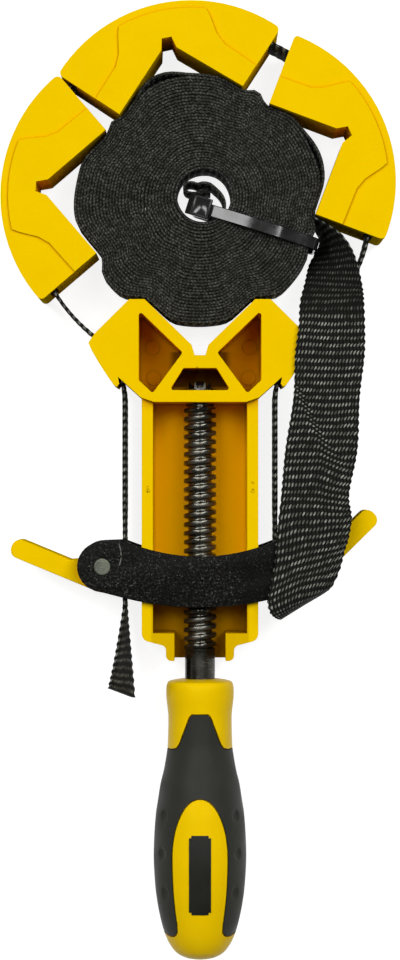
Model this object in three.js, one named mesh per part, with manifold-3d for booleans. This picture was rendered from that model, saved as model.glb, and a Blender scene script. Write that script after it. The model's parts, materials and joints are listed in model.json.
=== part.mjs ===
// Band clamp with a screw tensioner, lying on its back with its spare webbing rolled up and tied.
// A moulded frame holds a V jaw at one end and an open channel along the spindle. Turning the
// handle draws a steel yoke down the channel, and two cam levers on the yoke grip the webbing,
// which runs through the jaw's wings and round the work through three loose corner blocks.
// Lengths are in millimetres. X runs across, Y along the spindle toward the jaw, Z up from the back.

import * as THREE from 'three';
import { mergeVertices } from 'three/addons/utils/BufferGeometryUtils.js';
import Module from 'manifold-3d';

const wasm = await Module();
wasm.setup();

// Webbing
const strapWidth = 25;
const strapThickness = 1;
const strapHalf = strapThickness / 2;

// Clearances
const touchGap = 0.3;
const slideGap = 0.5;
const slotGap = 1.05;
const strapEdgeGap = 0.5;
const overrun = 5;

// Fineness of round stretches
const filletFacets = 5;
const turnedFacets = 36;
const ringSteps = 48;
const bendSteps = 8;
const quarterTurnDegrees = 90;

// Depth of the mouldings, with the webbing at the middle of it
const strapMargin = 4.5;
const mouldDepth = strapWidth + 2 * strapMargin;
const midZ = mouldDepth / 2;

// Jaw head: its outline is measured from the crossbar's lower edge
const head = {
  wingReach: 12.8,
  height: 36.7,
  baseY: 27.9,
  skin: 4,
  nose: 0.8,
  knee: 2.4,
};
const vFloorShare = 0.455;
const headShares = [
  [0.048, vFloorShare],
  [0.075, 0.555],
  [0.496, 1, 'nose'],
  [0.634, 1, 'nose'],
  [0.94, 0.67, 'knee'],
  [1, 0.575, 'nose'],
  [0.965, 0.49],
  [0.905, 0.379],
  [0.827, 0.248],
  [0.774, 0.166],
  [0.744, 0.147],
  [0.724, 0.177],
  [0.734, 0.243],
  [0.531, 0.044, 'nose'],
  [0.414, 0],
];
const pocketShares = [
  [0.549, 0.894, 'nose'],
  [0.549, 0.213, 'nose'],
  [0.424, 0.084, 'nose'],
  [0.155, 0.48, 'nose'],
];
const windowShares = [
  [0.148, 0.33, 'nose'],
  [0.273, 0.114, 'nose'],
];

// Channel below the head, with the neck that the spindle leaves through
const channel = {
  wall: 4,
  halfWidth: 20.9,
  floor: 3.5,
  strapRoom: 0.4,
  length: 82.9,
  shelf: 2.4,
  toe: 2.2,
  neckHalf: 12.2,
  neckLength: 7.5,
  neckWall: 3,
  cornerRound: 3,
  neckRound: 2,
};
const channelInner = channel.halfWidth - channel.wall;
const channelBack = strapMargin - channel.strapRoom;
const channelFront = mouldDepth - channelBack;
const channelFloorTop = channelBack + channel.floor;
const shelfY = head.baseY - channel.length;
const footY = shelfY - channel.shelf;
const neckY = footY - channel.neckLength;

// Route of the webbing: straight runs beside the channel, bends in the wings, a ring round the work
const anvil = { thickness: 4.9, length: 12, offset: -1 };
const runX = channel.halfWidth + slideGap + anvil.thickness + touchGap + strapHalf;
const headHalfWidth = runX + head.wingReach;
const wingBend = 31.3;
const splitDegrees = 19;
const ringRadius = 61.8;
const ringInset = 6;
const ringY = head.baseY + vFloorShare * head.height + ringRadius - ringInset;

// Spindle, turned about the line X = 0, Z = midZ
const spindle = {
  threadRadius: 5.8,
  shankRadius: 5.25,
  tipRadius: 2.95,
  tipRise: 3.6,
  tipRound: 1.6,
  plainLength: 11,
  chamfer: 1.1,
  tangLength: 40,
};
const thrustWasher = { radius: 5.2, thickness: 1 };
const retainer = { radius: 5, thickness: 0.6, prongs: 6, slotHalf: 0.55, slotDepth: 1.1 };

// Handle: radii along its length, from the butt up to the face at the spindle
const handle = {
  length: 101.4,
  neckGap: 7.1,
  maxRadius: 16.6,
  gripDepth: 1.9,
  tongueHalf: 3.1,
  tongueBaseHalf: 8,
  windowHalf: 10.2,
};
const handleShares = [
  [0, 0],
  [0, 0.22],
  [0.008, 0.4],
  [0.03, 0.575],
  [0.08, 0.745],
  [0.15, 0.885],
  [0.24, 0.965],
  [0.33, 0.996],
  [0.37, 1],
  [0.43, 0.99],
  [0.517, 0.958],
  [0.57, 0.91],
  [0.626, 0.867],
  [0.665, 0.8],
  [0.7, 0.753],
  [0.74, 0.698],
  [0.765, 0.682],
  [0.805, 0.681],
  [0.87, 0.703],
  [0.935, 0.722],
  [0.968, 0.722],
  [0.988, 0.7],
  [0.996, 0.62],
  [1, 0.41],
  [1, 0],
];
const gripShares = {
  tongueTop: 0.131,
  tongueBase: 0.242,
  shoulder: 0.248,
  windowTop: 0.435,
  windowWaist: 0.62,
  legRound: 0.87,
  legEnd: 0.922,
};

// Yoke: two crescent plates astride the channel, measured from the line through its pins
const yoke = {
  shelfRise: 24,
  plate: 2.5,
  plateGap: 0.4,
  endRadius: 9,
  endDegrees: 82,
  crown: 3.6,
  shoulder: 9.3,
  shoulderX: 27.3,
  belly: 14.6,
};
const plateBack = channelBack - yoke.plateGap - yoke.plate;
const plateFront = channelFront + yoke.plateGap;
const rivet = { shankRadius: 2.4, headRadius: 2.8, headHeight: 0.95 };
const domeShares = [[0, 1], [0.5, 0.94], [0.85, 0.7], [1, 0]];
const nut = { length: 14, offset: -5 };

// Cam levers: an eccentric disc at the pin and a flat arm that leaves it tangentially
const lever = {
  discRadius: 7.15,
  eccentricity: 2.2,
  eccentricDegrees: 250,
  camGap: 0.25,
  armLength: 33,
  armThickness: 6.9,
  armWidth: 18,
  tipRound: 3,
  heel: 4.5,
  leftDegrees: 22.5,
  rightDegrees: 44.5,
};
const pinX = runX + strapHalf + lever.camGap + lever.discRadius;
const pinY = shelfY + yoke.shelfRise;

// Corner blocks: V faces at a right angle, measured along and across the V's bisector
const corner = {
  innerWall: 4.3,
  outerWall: 9.6,
  armLength: 31.2,
  rimRadius: 56,
  endLength: 26,
  endRound: 3,
  notchHalf: 2.8,
  notchFloorHalf: 1.75,
  notchDepth: 1.3,
  slotDegrees: 45,
  stepHeight: 0.4,
  topDegrees: 101.7,
  leftGap: 0.1,
  rightGap: 3.7,
};
const plateauShares = {
  rim: 0.95,
  rimDegrees: 17.4,
  bend: [1.105, 0.29],
  waist: [0.985, 0.31],
  knee: [0.91, 0.345],
  foot: 0.275,
};

// Roll of spare webbing, held in by the tips of the V faces
const roll = {
  loops: 19,
  stepsPerLoop: 36,
  tipPress: 3.56,
  holeRadius: 8.8,
  tipGap: 0.6,
  jawGap: 1.5,
  dentFlatDegrees: 3.4,
  dentFadeDegrees: 9.5,
  exitDegrees: -8.5,
  bulge: 3.4,
  bulgeDegrees: 20.5,
  bulgeSpreadDegrees: 16,
  tieDent: 2.1,
  tieFadeDegrees: 5,
};

// Cable tie round one side of the roll
const tie = {
  width: 4.4,
  thickness: 1.2,
  degrees: -17.7,
  offset: -2.4,
  innerLeg: -0.6,
  headLength: 8.4,
  headWidth: 7.2,
  headHeight: 4.6,
  headLift: 3.2,
};

// Free end of the webbing: two edges from below the yoke, up over its front and on to the roll.
// Each row has x, y, z of the left edge and of the right edge: x in shares of the ring's radius,
// y in shares of the height from the pins to the ring's centre, z in shares of the front pass.
const frontPassGap = 0.9;
const freeStrapShares = [
  [0.458, -0.132, 0.8, 0.558, -0.108, 0.155],
  [0.468, -0.141, 0.84, 0.66, -0.098, 0.36],
  [0.44, -0.139, 0.94, 0.735, -0.082, 0.68],
  [0.405, -0.124, 1, 0.785, -0.055, 0.93],
  [0.39, -0.095, 1, 0.815, -0.018, 0.985],
  [0.41, -0.045, 1, 0.84, 0.012, 0.99],
  [0.432, 0.012, 1, 0.862, 0.05, 1],
  [0.442, 0.085, 1, 0.875, 0.135, 1],
  [0.466, 0.182, 1, 0.86, 0.19, 1],
  [0.492, 0.317, 1, 0.908, 0.317, 1],
  [0.54, 0.464, 1, 0.922, 0.464, 1],
  [0.549, 0.578, 1, 0.95, 0.578, 1],
  [0.57, 0.655, 1, 0.951, 0.655, 1],
  [0.592, 0.715, 0.93, 0.946, 0.72, 0.985],
  [0.628, 0.775, 0.66, 0.938, 0.76, 0.975],
  [0.662, 0.832, 0.38, 0.905, 0.83, 0.95],
  [0.7, 0.868, 0.24, 0.868, 0.872, 0.915],
  [0.712, 0.9, 0.165, 0.795, 0.915, 0.86],
];
const foldRows = 6;
const freeStepsPerRow = 3;
const tail = { length: 32.6, drift: -1.3, twistDegrees: 19.4, steps: 8 };

// Finishes
const paint = (color, roughness, metalness = 0) =>
  new THREE.MeshStandardMaterial({ color, roughness, metalness });
const finishes = {
  yellow: paint(0xecc100, 0.42),
  webbing: paint(0x1b1c1b, 0.85),
  grip: paint(0x1d1d1f, 0.6),
  paintedSteel: paint(0x141415, 0.38, 0.4),
  spindleSteel: paint(0x2b2a28, 0.35, 0.8),
  brightSteel: paint(0xb4b7ba, 0.3, 1),
  nylon: paint(0x37393a, 0.35),
};

const clamp = new THREE.Group();

// Turning a geometry into a solid that can be cut, and back
function solid(geometry) {
  geometry.deleteAttribute('normal');
  geometry.deleteAttribute('uv');
  const merged = mergeVertices(geometry);
  const corners = merged.index.array;
  const kept = [];
  for (let i = 0; i < corners.length; i += 3) {
    const [a, b, c] = corners.subarray(i, i + 3);
    if (a !== b && b !== c && c !== a) kept.push(a, b, c);
  }
  const vertProperties = merged.attributes.position.array;
  const triVerts = new Uint32Array(kept);
  return new wasm.Manifold(new wasm.Mesh({ numProp: 3, vertProperties, triVerts }));
}

function add(name, body, finish, place = new THREE.Matrix4()) {
  const { vertProperties, triVerts } = body.getMesh();
  const geometry = new THREE.BufferGeometry();
  geometry.setAttribute('position', new THREE.BufferAttribute(vertProperties, 3));
  geometry.setIndex(new THREE.BufferAttribute(triVerts, 1));
  geometry.computeVertexNormals();
  const mesh = new THREE.Mesh(geometry, finish);
  mesh.name = name;
  mesh.applyMatrix4(place);
  clamp.add(mesh);
}

// Plan outlines
const polar = (radius, degrees) => {
  const angle = THREE.MathUtils.degToRad(degrees);
  return [radius * Math.cos(angle), radius * Math.sin(angle)];
};

function arc(x, y, radius, from, to, steps) {
  return Array.from({ length: steps + 1 }, (_, i) => {
    const [dx, dy] = polar(radius, from + ((to - from) * i) / steps);
    return [x + dx, y + dy];
  });
}

// Closed outline through corner points [x, y, radius], each corner with a radius turned into an arc
function outline(points) {
  const path = [];
  points.forEach(([x, y, radius = 0], index) => {
    const here = new THREE.Vector2(x, y);
    const before = new THREE.Vector2(...points.at(index - 1)).sub(here);
    const after = new THREE.Vector2(...points[(index + 1) % points.length]).sub(here);
    const room = Math.min(before.length(), after.length()) / 2;
    before.normalize();
    after.normalize();
    const half = Math.acos(THREE.MathUtils.clamp(before.dot(after), -1, 1)) / 2;
    const reach = Math.min(radius / Math.tan(half), room);
    const fillet = reach * Math.tan(half);
    if (fillet === 0) {
      path.push(here);
      return;
    }
    const centre = before.clone().add(after).normalize();
    centre.multiplyScalar(fillet / Math.sin(half)).add(here);
    const start = here.clone().addScaledVector(before, reach).sub(centre);
    const end = here.clone().addScaledVector(after, reach).sub(centre);
    const sweep = Math.atan2(start.cross(end), start.dot(end));
    for (let k = 0; k <= filletFacets; k += 1) {
      const turned = start.clone().rotateAround(new THREE.Vector2(), (sweep * k) / filletFacets);
      path.push(turned.add(centre));
    }
  });
  return new THREE.Shape(path);
}

const bothSides = (right) => [
  ...right,
  ...right.toReversed().map(([x, y, radius]) => [-x, y, radius]),
];

function extruded(shape, from, to) {
  const geometry = new THREE.ExtrudeGeometry(shape, { depth: to - from, bevelEnabled: false });
  return solid(geometry.translate(0, 0, from));
}

// Solid turned about the spindle's axis from points [along Y, radius], lowest Y first
function turned(profile) {
  const points = profile.map(([y, radius]) => new THREE.Vector2(radius, y));
  return solid(new THREE.LatheGeometry(points, turnedFacets).translate(0, 0, midZ));
}

const headPoint = ([x, y, round]) => [
  x * headHalfWidth,
  head.baseY + y * head.height,
  round ? head[round] : 0,
];

// Webbing: stations of centre, half width vector and half thickness vector
function strap(stations) {
  const positions = [];
  const faces = [];
  stations.forEach(({ centre, across, out }) => {
    [[1, 1], [1, -1], [-1, -1], [-1, 1]].forEach(([side, face]) => {
      positions.push(...centre.clone().addScaledVector(across, side).addScaledVector(out, face));
    });
  });
  for (let i = 0; i + 1 < stations.length; i += 1) {
    for (let k = 0; k < 4; k += 1) {
      const a = 4 * i + k;
      const b = 4 * i + ((k + 1) % 4);
      faces.push(a, b + 4, b, a, a + 4, b + 4);
    }
  }
  const last = 4 * (stations.length - 1);
  faces.push(0, 1, 2, 0, 2, 3, last, last + 2, last + 1, last, last + 3, last + 2);
  const geometry = new THREE.BufferGeometry();
  geometry.setAttribute('position', new THREE.Float32BufferAttribute(positions, 3));
  geometry.setIndex(faces);
  return solid(geometry);
}

// Stations of webbing that stands on its edge along a path in plan
function edgewise(path) {
  return path.map(([x, y], index) => {
    const [ax, ay] = path[Math.max(index - 1, 0)];
    const [bx, by] = path[Math.min(index + 1, path.length - 1)];
    const out = new THREE.Vector3(by - ay, ax - bx, 0).normalize().multiplyScalar(strapHalf);
    return {
      centre: new THREE.Vector3(x, y, midZ),
      across: new THREE.Vector3(0, 0, strapWidth / 2),
      out,
    };
  });
}

// Slot that webbing on its edge passes through: the same path, wider and taller
function slot(path) {
  const grown = edgewise(path).map(({ centre, across, out }) => ({
    centre,
    across: across.clone().setLength(strapWidth / 2 + strapEdgeGap),
    out: out.clone().setLength(strapHalf + slotGap),
  }));
  return strap(grown);
}

// The webbing's route in plan: straight past the yoke, bent through a wing, then round the ring
const bendX = runX + wingBend;
const bendY = ringY - Math.sqrt((ringRadius + wingBend) ** 2 - bendX ** 2);
const bendDegrees = THREE.MathUtils.radToDeg(Math.atan2(ringY - bendY, bendX));
const splitGapDegrees = THREE.MathUtils.radToDeg(touchGap / wingBend);
const runEndY = pinY - yoke.belly + touchGap;

function wing(side, from, to, steps) {
  return arc(-bendX, bendY, wingBend, from, to, steps).map(([x, y]) => [-side * x, y]);
}

const ringArc = (from, to, steps) => arc(0, ringY, ringRadius, from, to, steps);

// Spindle's places along Y, and the bore for its tip
const windowSillY = headPoint(windowShares[1])[1];
const tipY = windowSillY + spindle.tipRise;
const tipBore = spindle.tipRadius + touchGap;
const washerY = head.baseY - touchGap - thrustWasher.thickness;
const shoulderY = washerY - touchGap;
const handleTopY = neckY - handle.neckGap;
const tangEndY = handleTopY - spindle.tangLength;
const threadEndY = handleTopY + spindle.plainLength;

// Frame body
function frameBody() {
  const jaw = extruded(outline(bothSides(headShares.map(headPoint))), 0, mouldDepth);
  const trough = extruded(outline(bothSides([
    [channel.halfWidth, head.baseY + channel.wall / 2],
    [channel.halfWidth, footY, channel.cornerRound],
    [channel.neckHalf, footY - channel.toe, channel.neckRound],
    [channel.neckHalf, neckY, channel.neckRound],
  ])), channelBack, channelFront);
  const neckInner = channel.neckHalf - channel.neckWall;
  const hollow = extruded(outline(bothSides([
    [channelInner, head.baseY],
    [channelInner, shelfY],
    [neckInner, shelfY],
    [neckInner, neckY - overrun],
  ])), channelFloorTop, channelFront + overrun);
  const window = extruded(
    outline(bothSides(windowShares.map(headPoint))),
    head.skin,
    mouldDepth + overrun,
  );
  const bore = turned([
    [head.baseY - overrun, 0],
    [head.baseY - overrun, tipBore],
    [tipY, tipBore],
    [tipY, 0],
  ]);
  let body = jaw.add(trough).subtract(hollow).subtract(window).subtract(bore);
  [1, -1].forEach((side) => {
    const pocket = pocketShares.map(headPoint).map(([x, y, round]) => [side * x, y, round]);
    body = body.subtract(extruded(outline(pocket), head.skin, mouldDepth + overrun));
    const path = [
      ...wing(side, 0, bendDegrees, bendSteps),
      ...ringArc(-bendDegrees, 0, bendSteps).slice(1).map(([x, y]) => [side * x, y]),
    ];
    path.unshift([side * runX, bendY - overrun]);
    body = body.subtract(slot(side > 0 ? path : path.toReversed()));
  });
  return body;
}

add('frame_body', frameBody(), finishes.yellow);

// Spindle with its thrust washer and the star retainer on its tip
add('spindle', turned([
  [tangEndY, 0],
  [tangEndY, spindle.shankRadius - spindle.chamfer],
  [tangEndY + spindle.chamfer, spindle.shankRadius],
  [threadEndY, spindle.shankRadius],
  [threadEndY + spindle.chamfer / 2, spindle.threadRadius],
  [shoulderY - spindle.chamfer, spindle.threadRadius],
  [shoulderY, spindle.threadRadius - spindle.chamfer],
  [shoulderY, spindle.tipRadius],
  [tipY - spindle.tipRound, spindle.tipRadius],
  [tipY - spindle.tipRound / 3, spindle.tipRadius - spindle.tipRound / 2],
  [tipY, 0],
]), finishes.spindleSteel);

function washer(fromY, thickness, inner, outer) {
  return turned([
    [fromY, inner],
    [fromY, outer],
    [fromY + thickness, outer],
    [fromY + thickness, inner],
    [fromY, inner],
  ]);
}

add(
  'thrust_washer',
  washer(washerY, thrustWasher.thickness, tipBore, thrustWasher.radius),
  finishes.brightSteel,
);

function starRetainer() {
  const baseY = windowSillY + touchGap;
  let star = washer(baseY, retainer.thickness, tipBore, retainer.radius);
  for (let k = 0; k < retainer.prongs; k += 1) {
    const notch = extruded(outline([
      [-retainer.slotHalf, 0],
      [retainer.slotHalf, 0],
      [retainer.slotHalf, tipBore + retainer.slotDepth],
      [-retainer.slotHalf, tipBore + retainer.slotDepth],
    ]), -overrun, overrun);
    const turn = [quarterTurnDegrees, (360 * k) / retainer.prongs, 0];
    star = star.subtract(notch.rotate(turn).translate([0, baseY, midZ]));
  }
  return star;
}

add('spindle_retainer', starRetainer(), finishes.brightSteel);

// Handle: a hard core with a soft grip let into it
const alongHandle = (share) => handleTopY - handle.length * (1 - share);
const belowTop = (share) => handleTopY - handle.length * share;

function handleForm(inset) {
  return turned(handleShares.map(([along, radius]) => [
    alongHandle(along),
    Math.max(radius * handle.maxRadius - (radius > 0 ? inset : 0), 0),
  ]));
}

// Plan of the grip, seen from the front: tongue, shoulders and two legs beside an open window
function gripPlan(grow) {
  const side = handle.maxRadius + overrun;
  const legHalf = handle.windowHalf - grow;
  const windowArc = Array.from({ length: bendSteps }, (_, i) => {
    const angle = (Math.PI / 2) * (1 - (i + 0.5) / bendSteps);
    const rise = belowTop(gripShares.windowTop) - belowTop(gripShares.windowWaist) - grow;
    return [legHalf * Math.cos(angle), belowTop(gripShares.windowWaist) + rise * Math.sin(angle)];
  });
  return outline(bothSides([
    [handle.tongueHalf + grow, belowTop(gripShares.tongueTop) + grow],
    [handle.tongueBaseHalf + grow, belowTop(gripShares.tongueBase) + grow],
    [handle.tongueBaseHalf + grow, belowTop(gripShares.shoulder) + grow],
    [side, belowTop(gripShares.shoulder) + grow],
    [side, belowTop(gripShares.legEnd) - grow],
    [legHalf + handle.gripDepth, belowTop(gripShares.legEnd) - grow],
    [legHalf, belowTop(gripShares.legRound) - grow],
    ...windowArc.toReversed(),
  ]));
}

function gripRegion(grow) {
  return extruded(gripPlan(grow), -overrun, mouldDepth + overrun);
}

const wholeHandle = handleForm(0);
const gripSolid = wholeHandle.subtract(handleForm(handle.gripDepth)).intersect(gripRegion(0));
const seatSolid = handleForm(-handle.gripDepth).subtract(handleForm(handle.gripDepth + touchGap));
const spindleSocket = turned([
  [tangEndY - touchGap, 0],
  [tangEndY - touchGap, spindle.shankRadius + touchGap],
  [handleTopY + overrun, spindle.shankRadius + touchGap],
  [handleTopY + overrun, 0],
]);
const coreSolid = wholeHandle
  .subtract(seatSolid.intersect(gripRegion(touchGap)))
  .subtract(spindleSocket);
add('handle_core', coreSolid, finishes.yellow);
add('handle_grip', gripSolid, finishes.grip);

// Yoke plates, their rivets, the nut between them and the strap anvils
function yokeOutline() {
  const bellyRise = yoke.belly - yoke.endRadius;
  const bellyRadius = (pinX ** 2 + bellyRise ** 2) / (2 * bellyRise);
  const sweep = THREE.MathUtils.radToDeg(Math.asin(pinX / bellyRadius));
  const bellyCentre = pinY - yoke.belly + bellyRadius;
  const crownCurve = new THREE.QuadraticBezierCurve(
    new THREE.Vector2(0, pinY + yoke.crown),
    new THREE.Vector2(yoke.shoulderX / 2, pinY + yoke.crown),
    new THREE.Vector2(yoke.shoulderX, pinY + yoke.shoulder),
  );
  const crown = crownCurve.getPoints(bendSteps).slice(1).map(({ x, y }) => [x, y]);
  return outline(bothSides([
    ...crown,
    ...arc(pinX, pinY, yoke.endRadius, quarterTurnDegrees, -yoke.endDegrees, bendSteps * 2),
    ...arc(
      0,
      bellyCentre,
      bellyRadius,
      sweep - quarterTurnDegrees,
      -quarterTurnDegrees,
      bendSteps,
    ).slice(1, -1),
  ]));
}

function pinHole(x) {
  return cylinder(x, pinY, rivet.shankRadius + touchGap, -overrun, mouldDepth + overrun);
}

function cylinder(x, y, radius, from, to) {
  const tube = new THREE.CylinderGeometry(radius, radius, to - from, turnedFacets / 2);
  tube.rotateX(Math.PI / 2).translate(x, y, (from + to) / 2);
  return solid(tube);
}

function yokePlate(from) {
  const blank = extruded(yokeOutline(), from, from + yoke.plate);
  return blank.subtract(pinHole(pinX)).subtract(pinHole(-pinX));
}

add('yoke_front_plate', yokePlate(plateFront), finishes.paintedSteel);
add('yoke_back_plate', yokePlate(plateBack), finishes.paintedSteel);

// Rivet along Z with a domed head outside each plate
function pivotRivet(x) {
  const back = plateBack - touchGap;
  const front = plateFront + yoke.plate + touchGap;
  const dome = (base, tip) => domeShares.map(([rise, radius]) => [
    base + rise * (tip - base),
    radius * rivet.headRadius,
  ]);
  const profile = [
    ...dome(back, back - rivet.headHeight + touchGap).toReversed(),
    [back, rivet.shankRadius],
    [front, rivet.shankRadius],
    ...dome(front, front + rivet.headHeight - touchGap),
  ];
  const points = profile.map(([z, radius]) => new THREE.Vector2(radius, z));
  const geometry = new THREE.LatheGeometry(points, turnedFacets / 2);
  return solid(geometry.rotateX(Math.PI / 2).translate(x, pinY, 0));
}

add('left_pivot_rivet', pivotRivet(-pinX), finishes.brightSteel);
add('right_pivot_rivet', pivotRivet(pinX), finishes.brightSteel);

function box(x0, x1, y0, y1, z0, z1) {
  return extruded(outline([[x0, y0], [x1, y0], [x1, y1], [x0, y1]]), z0, z1);
}

function travellerNut() {
  const halfWidth = channelInner - slideGap;
  const middleY = pinY + nut.offset;
  const block = box(
    -halfWidth,
    halfWidth,
    middleY - nut.length / 2,
    middleY + nut.length / 2,
    channelFloorTop + slideGap,
    plateFront - touchGap,
  );
  const boreRadius = spindle.threadRadius + touchGap;
  return block.subtract(turned([
    [middleY - nut.length, 0],
    [middleY - nut.length, boreRadius],
    [middleY + nut.length, boreRadius],
    [middleY + nut.length, 0],
  ]));
}

add('traveller_nut', travellerNut(), finishes.brightSteel);

function strapAnvil(side) {
  const inner = channel.halfWidth + slideGap;
  const outer = inner + anvil.thickness;
  const middleY = pinY + anvil.offset;
  return box(
    Math.min(side * inner, side * outer),
    Math.max(side * inner, side * outer),
    middleY - anvil.length / 2,
    middleY + anvil.length / 2,
    plateBack + yoke.plate + touchGap,
    plateFront - touchGap,
  );
}

add('left_anvil', strapAnvil(-1), finishes.paintedSteel);
add('right_anvil', strapAnvil(1), finishes.paintedSteel);

// Cam lever in its own frame: pin at the origin, arm along +X
function camLever() {
  const [discX, discY] = polar(lever.eccentricity, lever.eccentricDegrees);
  const hubBack = plateBack + yoke.plate + touchGap;
  const hubFront = plateFront - touchGap;
  const disc = cylinder(discX, discY, lever.discRadius, hubBack, hubFront);
  const armLow = discY - lever.discRadius;
  const armHigh = armLow + lever.armThickness;
  const arm = extruded(outline([
    [discX, armLow],
    [lever.armLength, armLow, lever.tipRound],
    [lever.armLength, armHigh, lever.tipRound],
    [lever.discRadius + lever.heel, armHigh],
    [lever.discRadius, armHigh + lever.heel / 2],
    [discX, 0],
  ]), midZ - lever.armWidth / 2, midZ + lever.armWidth / 2);
  const bore = cylinder(0, 0, rivet.shankRadius + touchGap, -overrun, mouldDepth + overrun);
  return disc.add(arm).subtract(bore);
}

function leverPlace(side, degrees) {
  const place = new THREE.Matrix4().makeTranslation(side * pinX, pinY, 0);
  const turn = new THREE.Matrix4().makeRotationZ(THREE.MathUtils.degToRad(side * degrees));
  return place.multiply(turn);
}

add('right_cam_lever', camLever(), finishes.yellow, leverPlace(1, lever.rightDegrees));
add(
  'left_cam_lever',
  camLever().mirror([1, 0, 0]),
  finishes.yellow,
  leverPlace(-1, lever.leftDegrees),
);

// Corner block in its own frame: ring centre at the origin, bisector along +X
const vertexX = ringRadius - corner.innerWall;
const notchX = vertexX - corner.notchHalf;
const notchFloorX = vertexX + corner.notchDepth;
const rimCentreX = ringRadius + corner.outerWall - corner.rimRadius;
const armSpan = corner.armLength / Math.SQRT2;
const endSpan = corner.endLength / Math.SQRT2;
const tipAlong = vertexX - armSpan;
const tipRadius = Math.hypot(tipAlong, armSpan);
const rimX = tipAlong + endSpan;
const rimY = armSpan + endSpan;

function cornerBlock() {
  const rimDegrees = THREE.MathUtils.radToDeg(Math.atan2(rimY, rimX - rimCentreX));
  const rim = arc(rimCentreX, 0, corner.rimRadius, rimDegrees, -rimDegrees, bendSteps * 3);
  rim[0].push(corner.endRound);
  rim.at(-1).push(corner.endRound);
  const whole = outline([
    ...rim,
    [tipAlong, -armSpan],
    [notchX, -corner.notchHalf],
    [notchFloorX, -corner.notchFloorHalf],
    [notchFloorX, corner.notchFloorHalf],
    [notchX, corner.notchHalf],
    [tipAlong, armSpan],
  ]);
  const plateauRim = arc(
    rimCentreX,
    0,
    plateauShares.rim * corner.rimRadius,
    plateauShares.rimDegrees,
    -plateauShares.rimDegrees,
    bendSteps,
  );
  const footSpan = plateauShares.foot * corner.endLength;
  const sides = [1, -1].map((side) => [
    [plateauShares.bend[0] * vertexX, side * plateauShares.bend[1] * vertexX],
    [plateauShares.waist[0] * vertexX, side * plateauShares.waist[1] * vertexX],
    [plateauShares.knee[0] * vertexX, side * plateauShares.knee[1] * vertexX],
    [tipAlong + footSpan, side * (armSpan + footSpan)],
    [tipAlong, side * armSpan],
  ]);
  const plateau = outline([
    ...sides[0].toReversed(),
    ...plateauRim,
    ...sides[1],
    [notchX, -corner.notchHalf],
    [notchFloorX, -corner.notchFloorHalf],
    [notchFloorX, corner.notchFloorHalf],
    [notchX, corner.notchHalf],
  ]);
  const path = arc(0, 0, ringRadius, corner.slotDegrees, -corner.slotDegrees, bendSteps * 2);
  return extruded(whole, corner.stepHeight, mouldDepth - corner.stepHeight)
    .add(extruded(plateau, 0, mouldDepth))
    .subtract(slot(path));
}

// The blocks stand side by side on the ring, each turned by the width of a block and a gap
const cornerWidthDegrees = 2 * THREE.MathUtils.radToDeg(Math.atan2(rimY, rimX));
const gapDegrees = (gap) => THREE.MathUtils.radToDeg(gap / ringRadius);
const cornerPlaces = {
  corner_left: corner.topDegrees + cornerWidthDegrees + gapDegrees(corner.leftGap),
  corner_top: corner.topDegrees,
  corner_right: corner.topDegrees - cornerWidthDegrees - gapDegrees(corner.rightGap),
};
const cornerSolid = cornerBlock();
Object.entries(cornerPlaces).forEach(([name, degrees]) => {
  const place = new THREE.Matrix4().makeTranslation(0, ringY, 0);
  place.multiply(new THREE.Matrix4().makeRotationZ(THREE.MathUtils.degToRad(degrees)));
  add(name, cornerSolid, finishes.yellow, place);
});

// Webbing that stands on its edge: both runs past the yoke and the ring round the work
const ringPath = [
  ...wing(-1, splitDegrees + splitGapDegrees, bendDegrees, bendSteps),
  ...ringArc(180 + bendDegrees, -bendDegrees, ringSteps).slice(1, -1),
  ...wing(1, bendDegrees, splitDegrees + splitGapDegrees, bendSteps),
];
add('band_ring', strap(edgewise(ringPath)), finishes.webbing);

const runPath = (side) => [...wing(side, splitDegrees, 0, bendSteps), [side * runX, runEndY]];
add('band_left_run', strap(edgewise(runPath(-1))), finishes.webbing);
add('band_right_run', strap(edgewise(runPath(1))), finishes.webbing);

// Cut tail below the yoke, which twists a little as it hangs free
const tailStations = Array.from({ length: tail.steps + 1 }, (_, i) => {
  const share = i / tail.steps;
  const twist = THREE.MathUtils.degToRad(tail.twistDegrees) * share;
  const y = runEndY - touchGap - tail.length * share;
  return {
    centre: new THREE.Vector3(-runX + tail.drift * share, y, midZ),
    across: new THREE.Vector3(-Math.sin(twist), 0, Math.cos(twist)).setLength(strapWidth / 2),
    out: new THREE.Vector3(-Math.cos(twist), 0, -Math.sin(twist)).setLength(strapHalf),
  };
});
add('band_tail', strap(tailStations), finishes.webbing);

// Roll: its outline is dented by the V tips and by the tie, less and less toward the hole
const tipDegrees = THREE.MathUtils.radToDeg(Math.atan2(armSpan, tipAlong));
const headTipX = headShares[2][0] * headHalfWidth;
const headTipY = head.baseY + head.height - ringY;
const headTipDegrees = THREE.MathUtils.radToDeg(Math.atan2(headTipY, headTipX));
const tips = [
  ...Object.values(cornerPlaces).flatMap((degrees) => [
    { degrees: degrees + tipDegrees, reach: tipRadius - roll.tipGap },
    { degrees: degrees - tipDegrees, reach: tipRadius - roll.tipGap },
  ]),
  ...[headTipDegrees, 180 - headTipDegrees].map((degrees) => ({
    degrees,
    reach: Math.hypot(headTipX, headTipY) - roll.jawGap,
  })),
];

const rollRadius = tipRadius + roll.tipPress;
const tieSideDegrees = tie.degrees + THREE.MathUtils.radToDeg(Math.atan2(tie.offset, rollRadius));

const turnFrom = (degrees, other) => {
  const turn = THREE.MathUtils.euclideanModulo(degrees - other + 180, 360) - 180;
  return Math.abs(turn);
};

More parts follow.
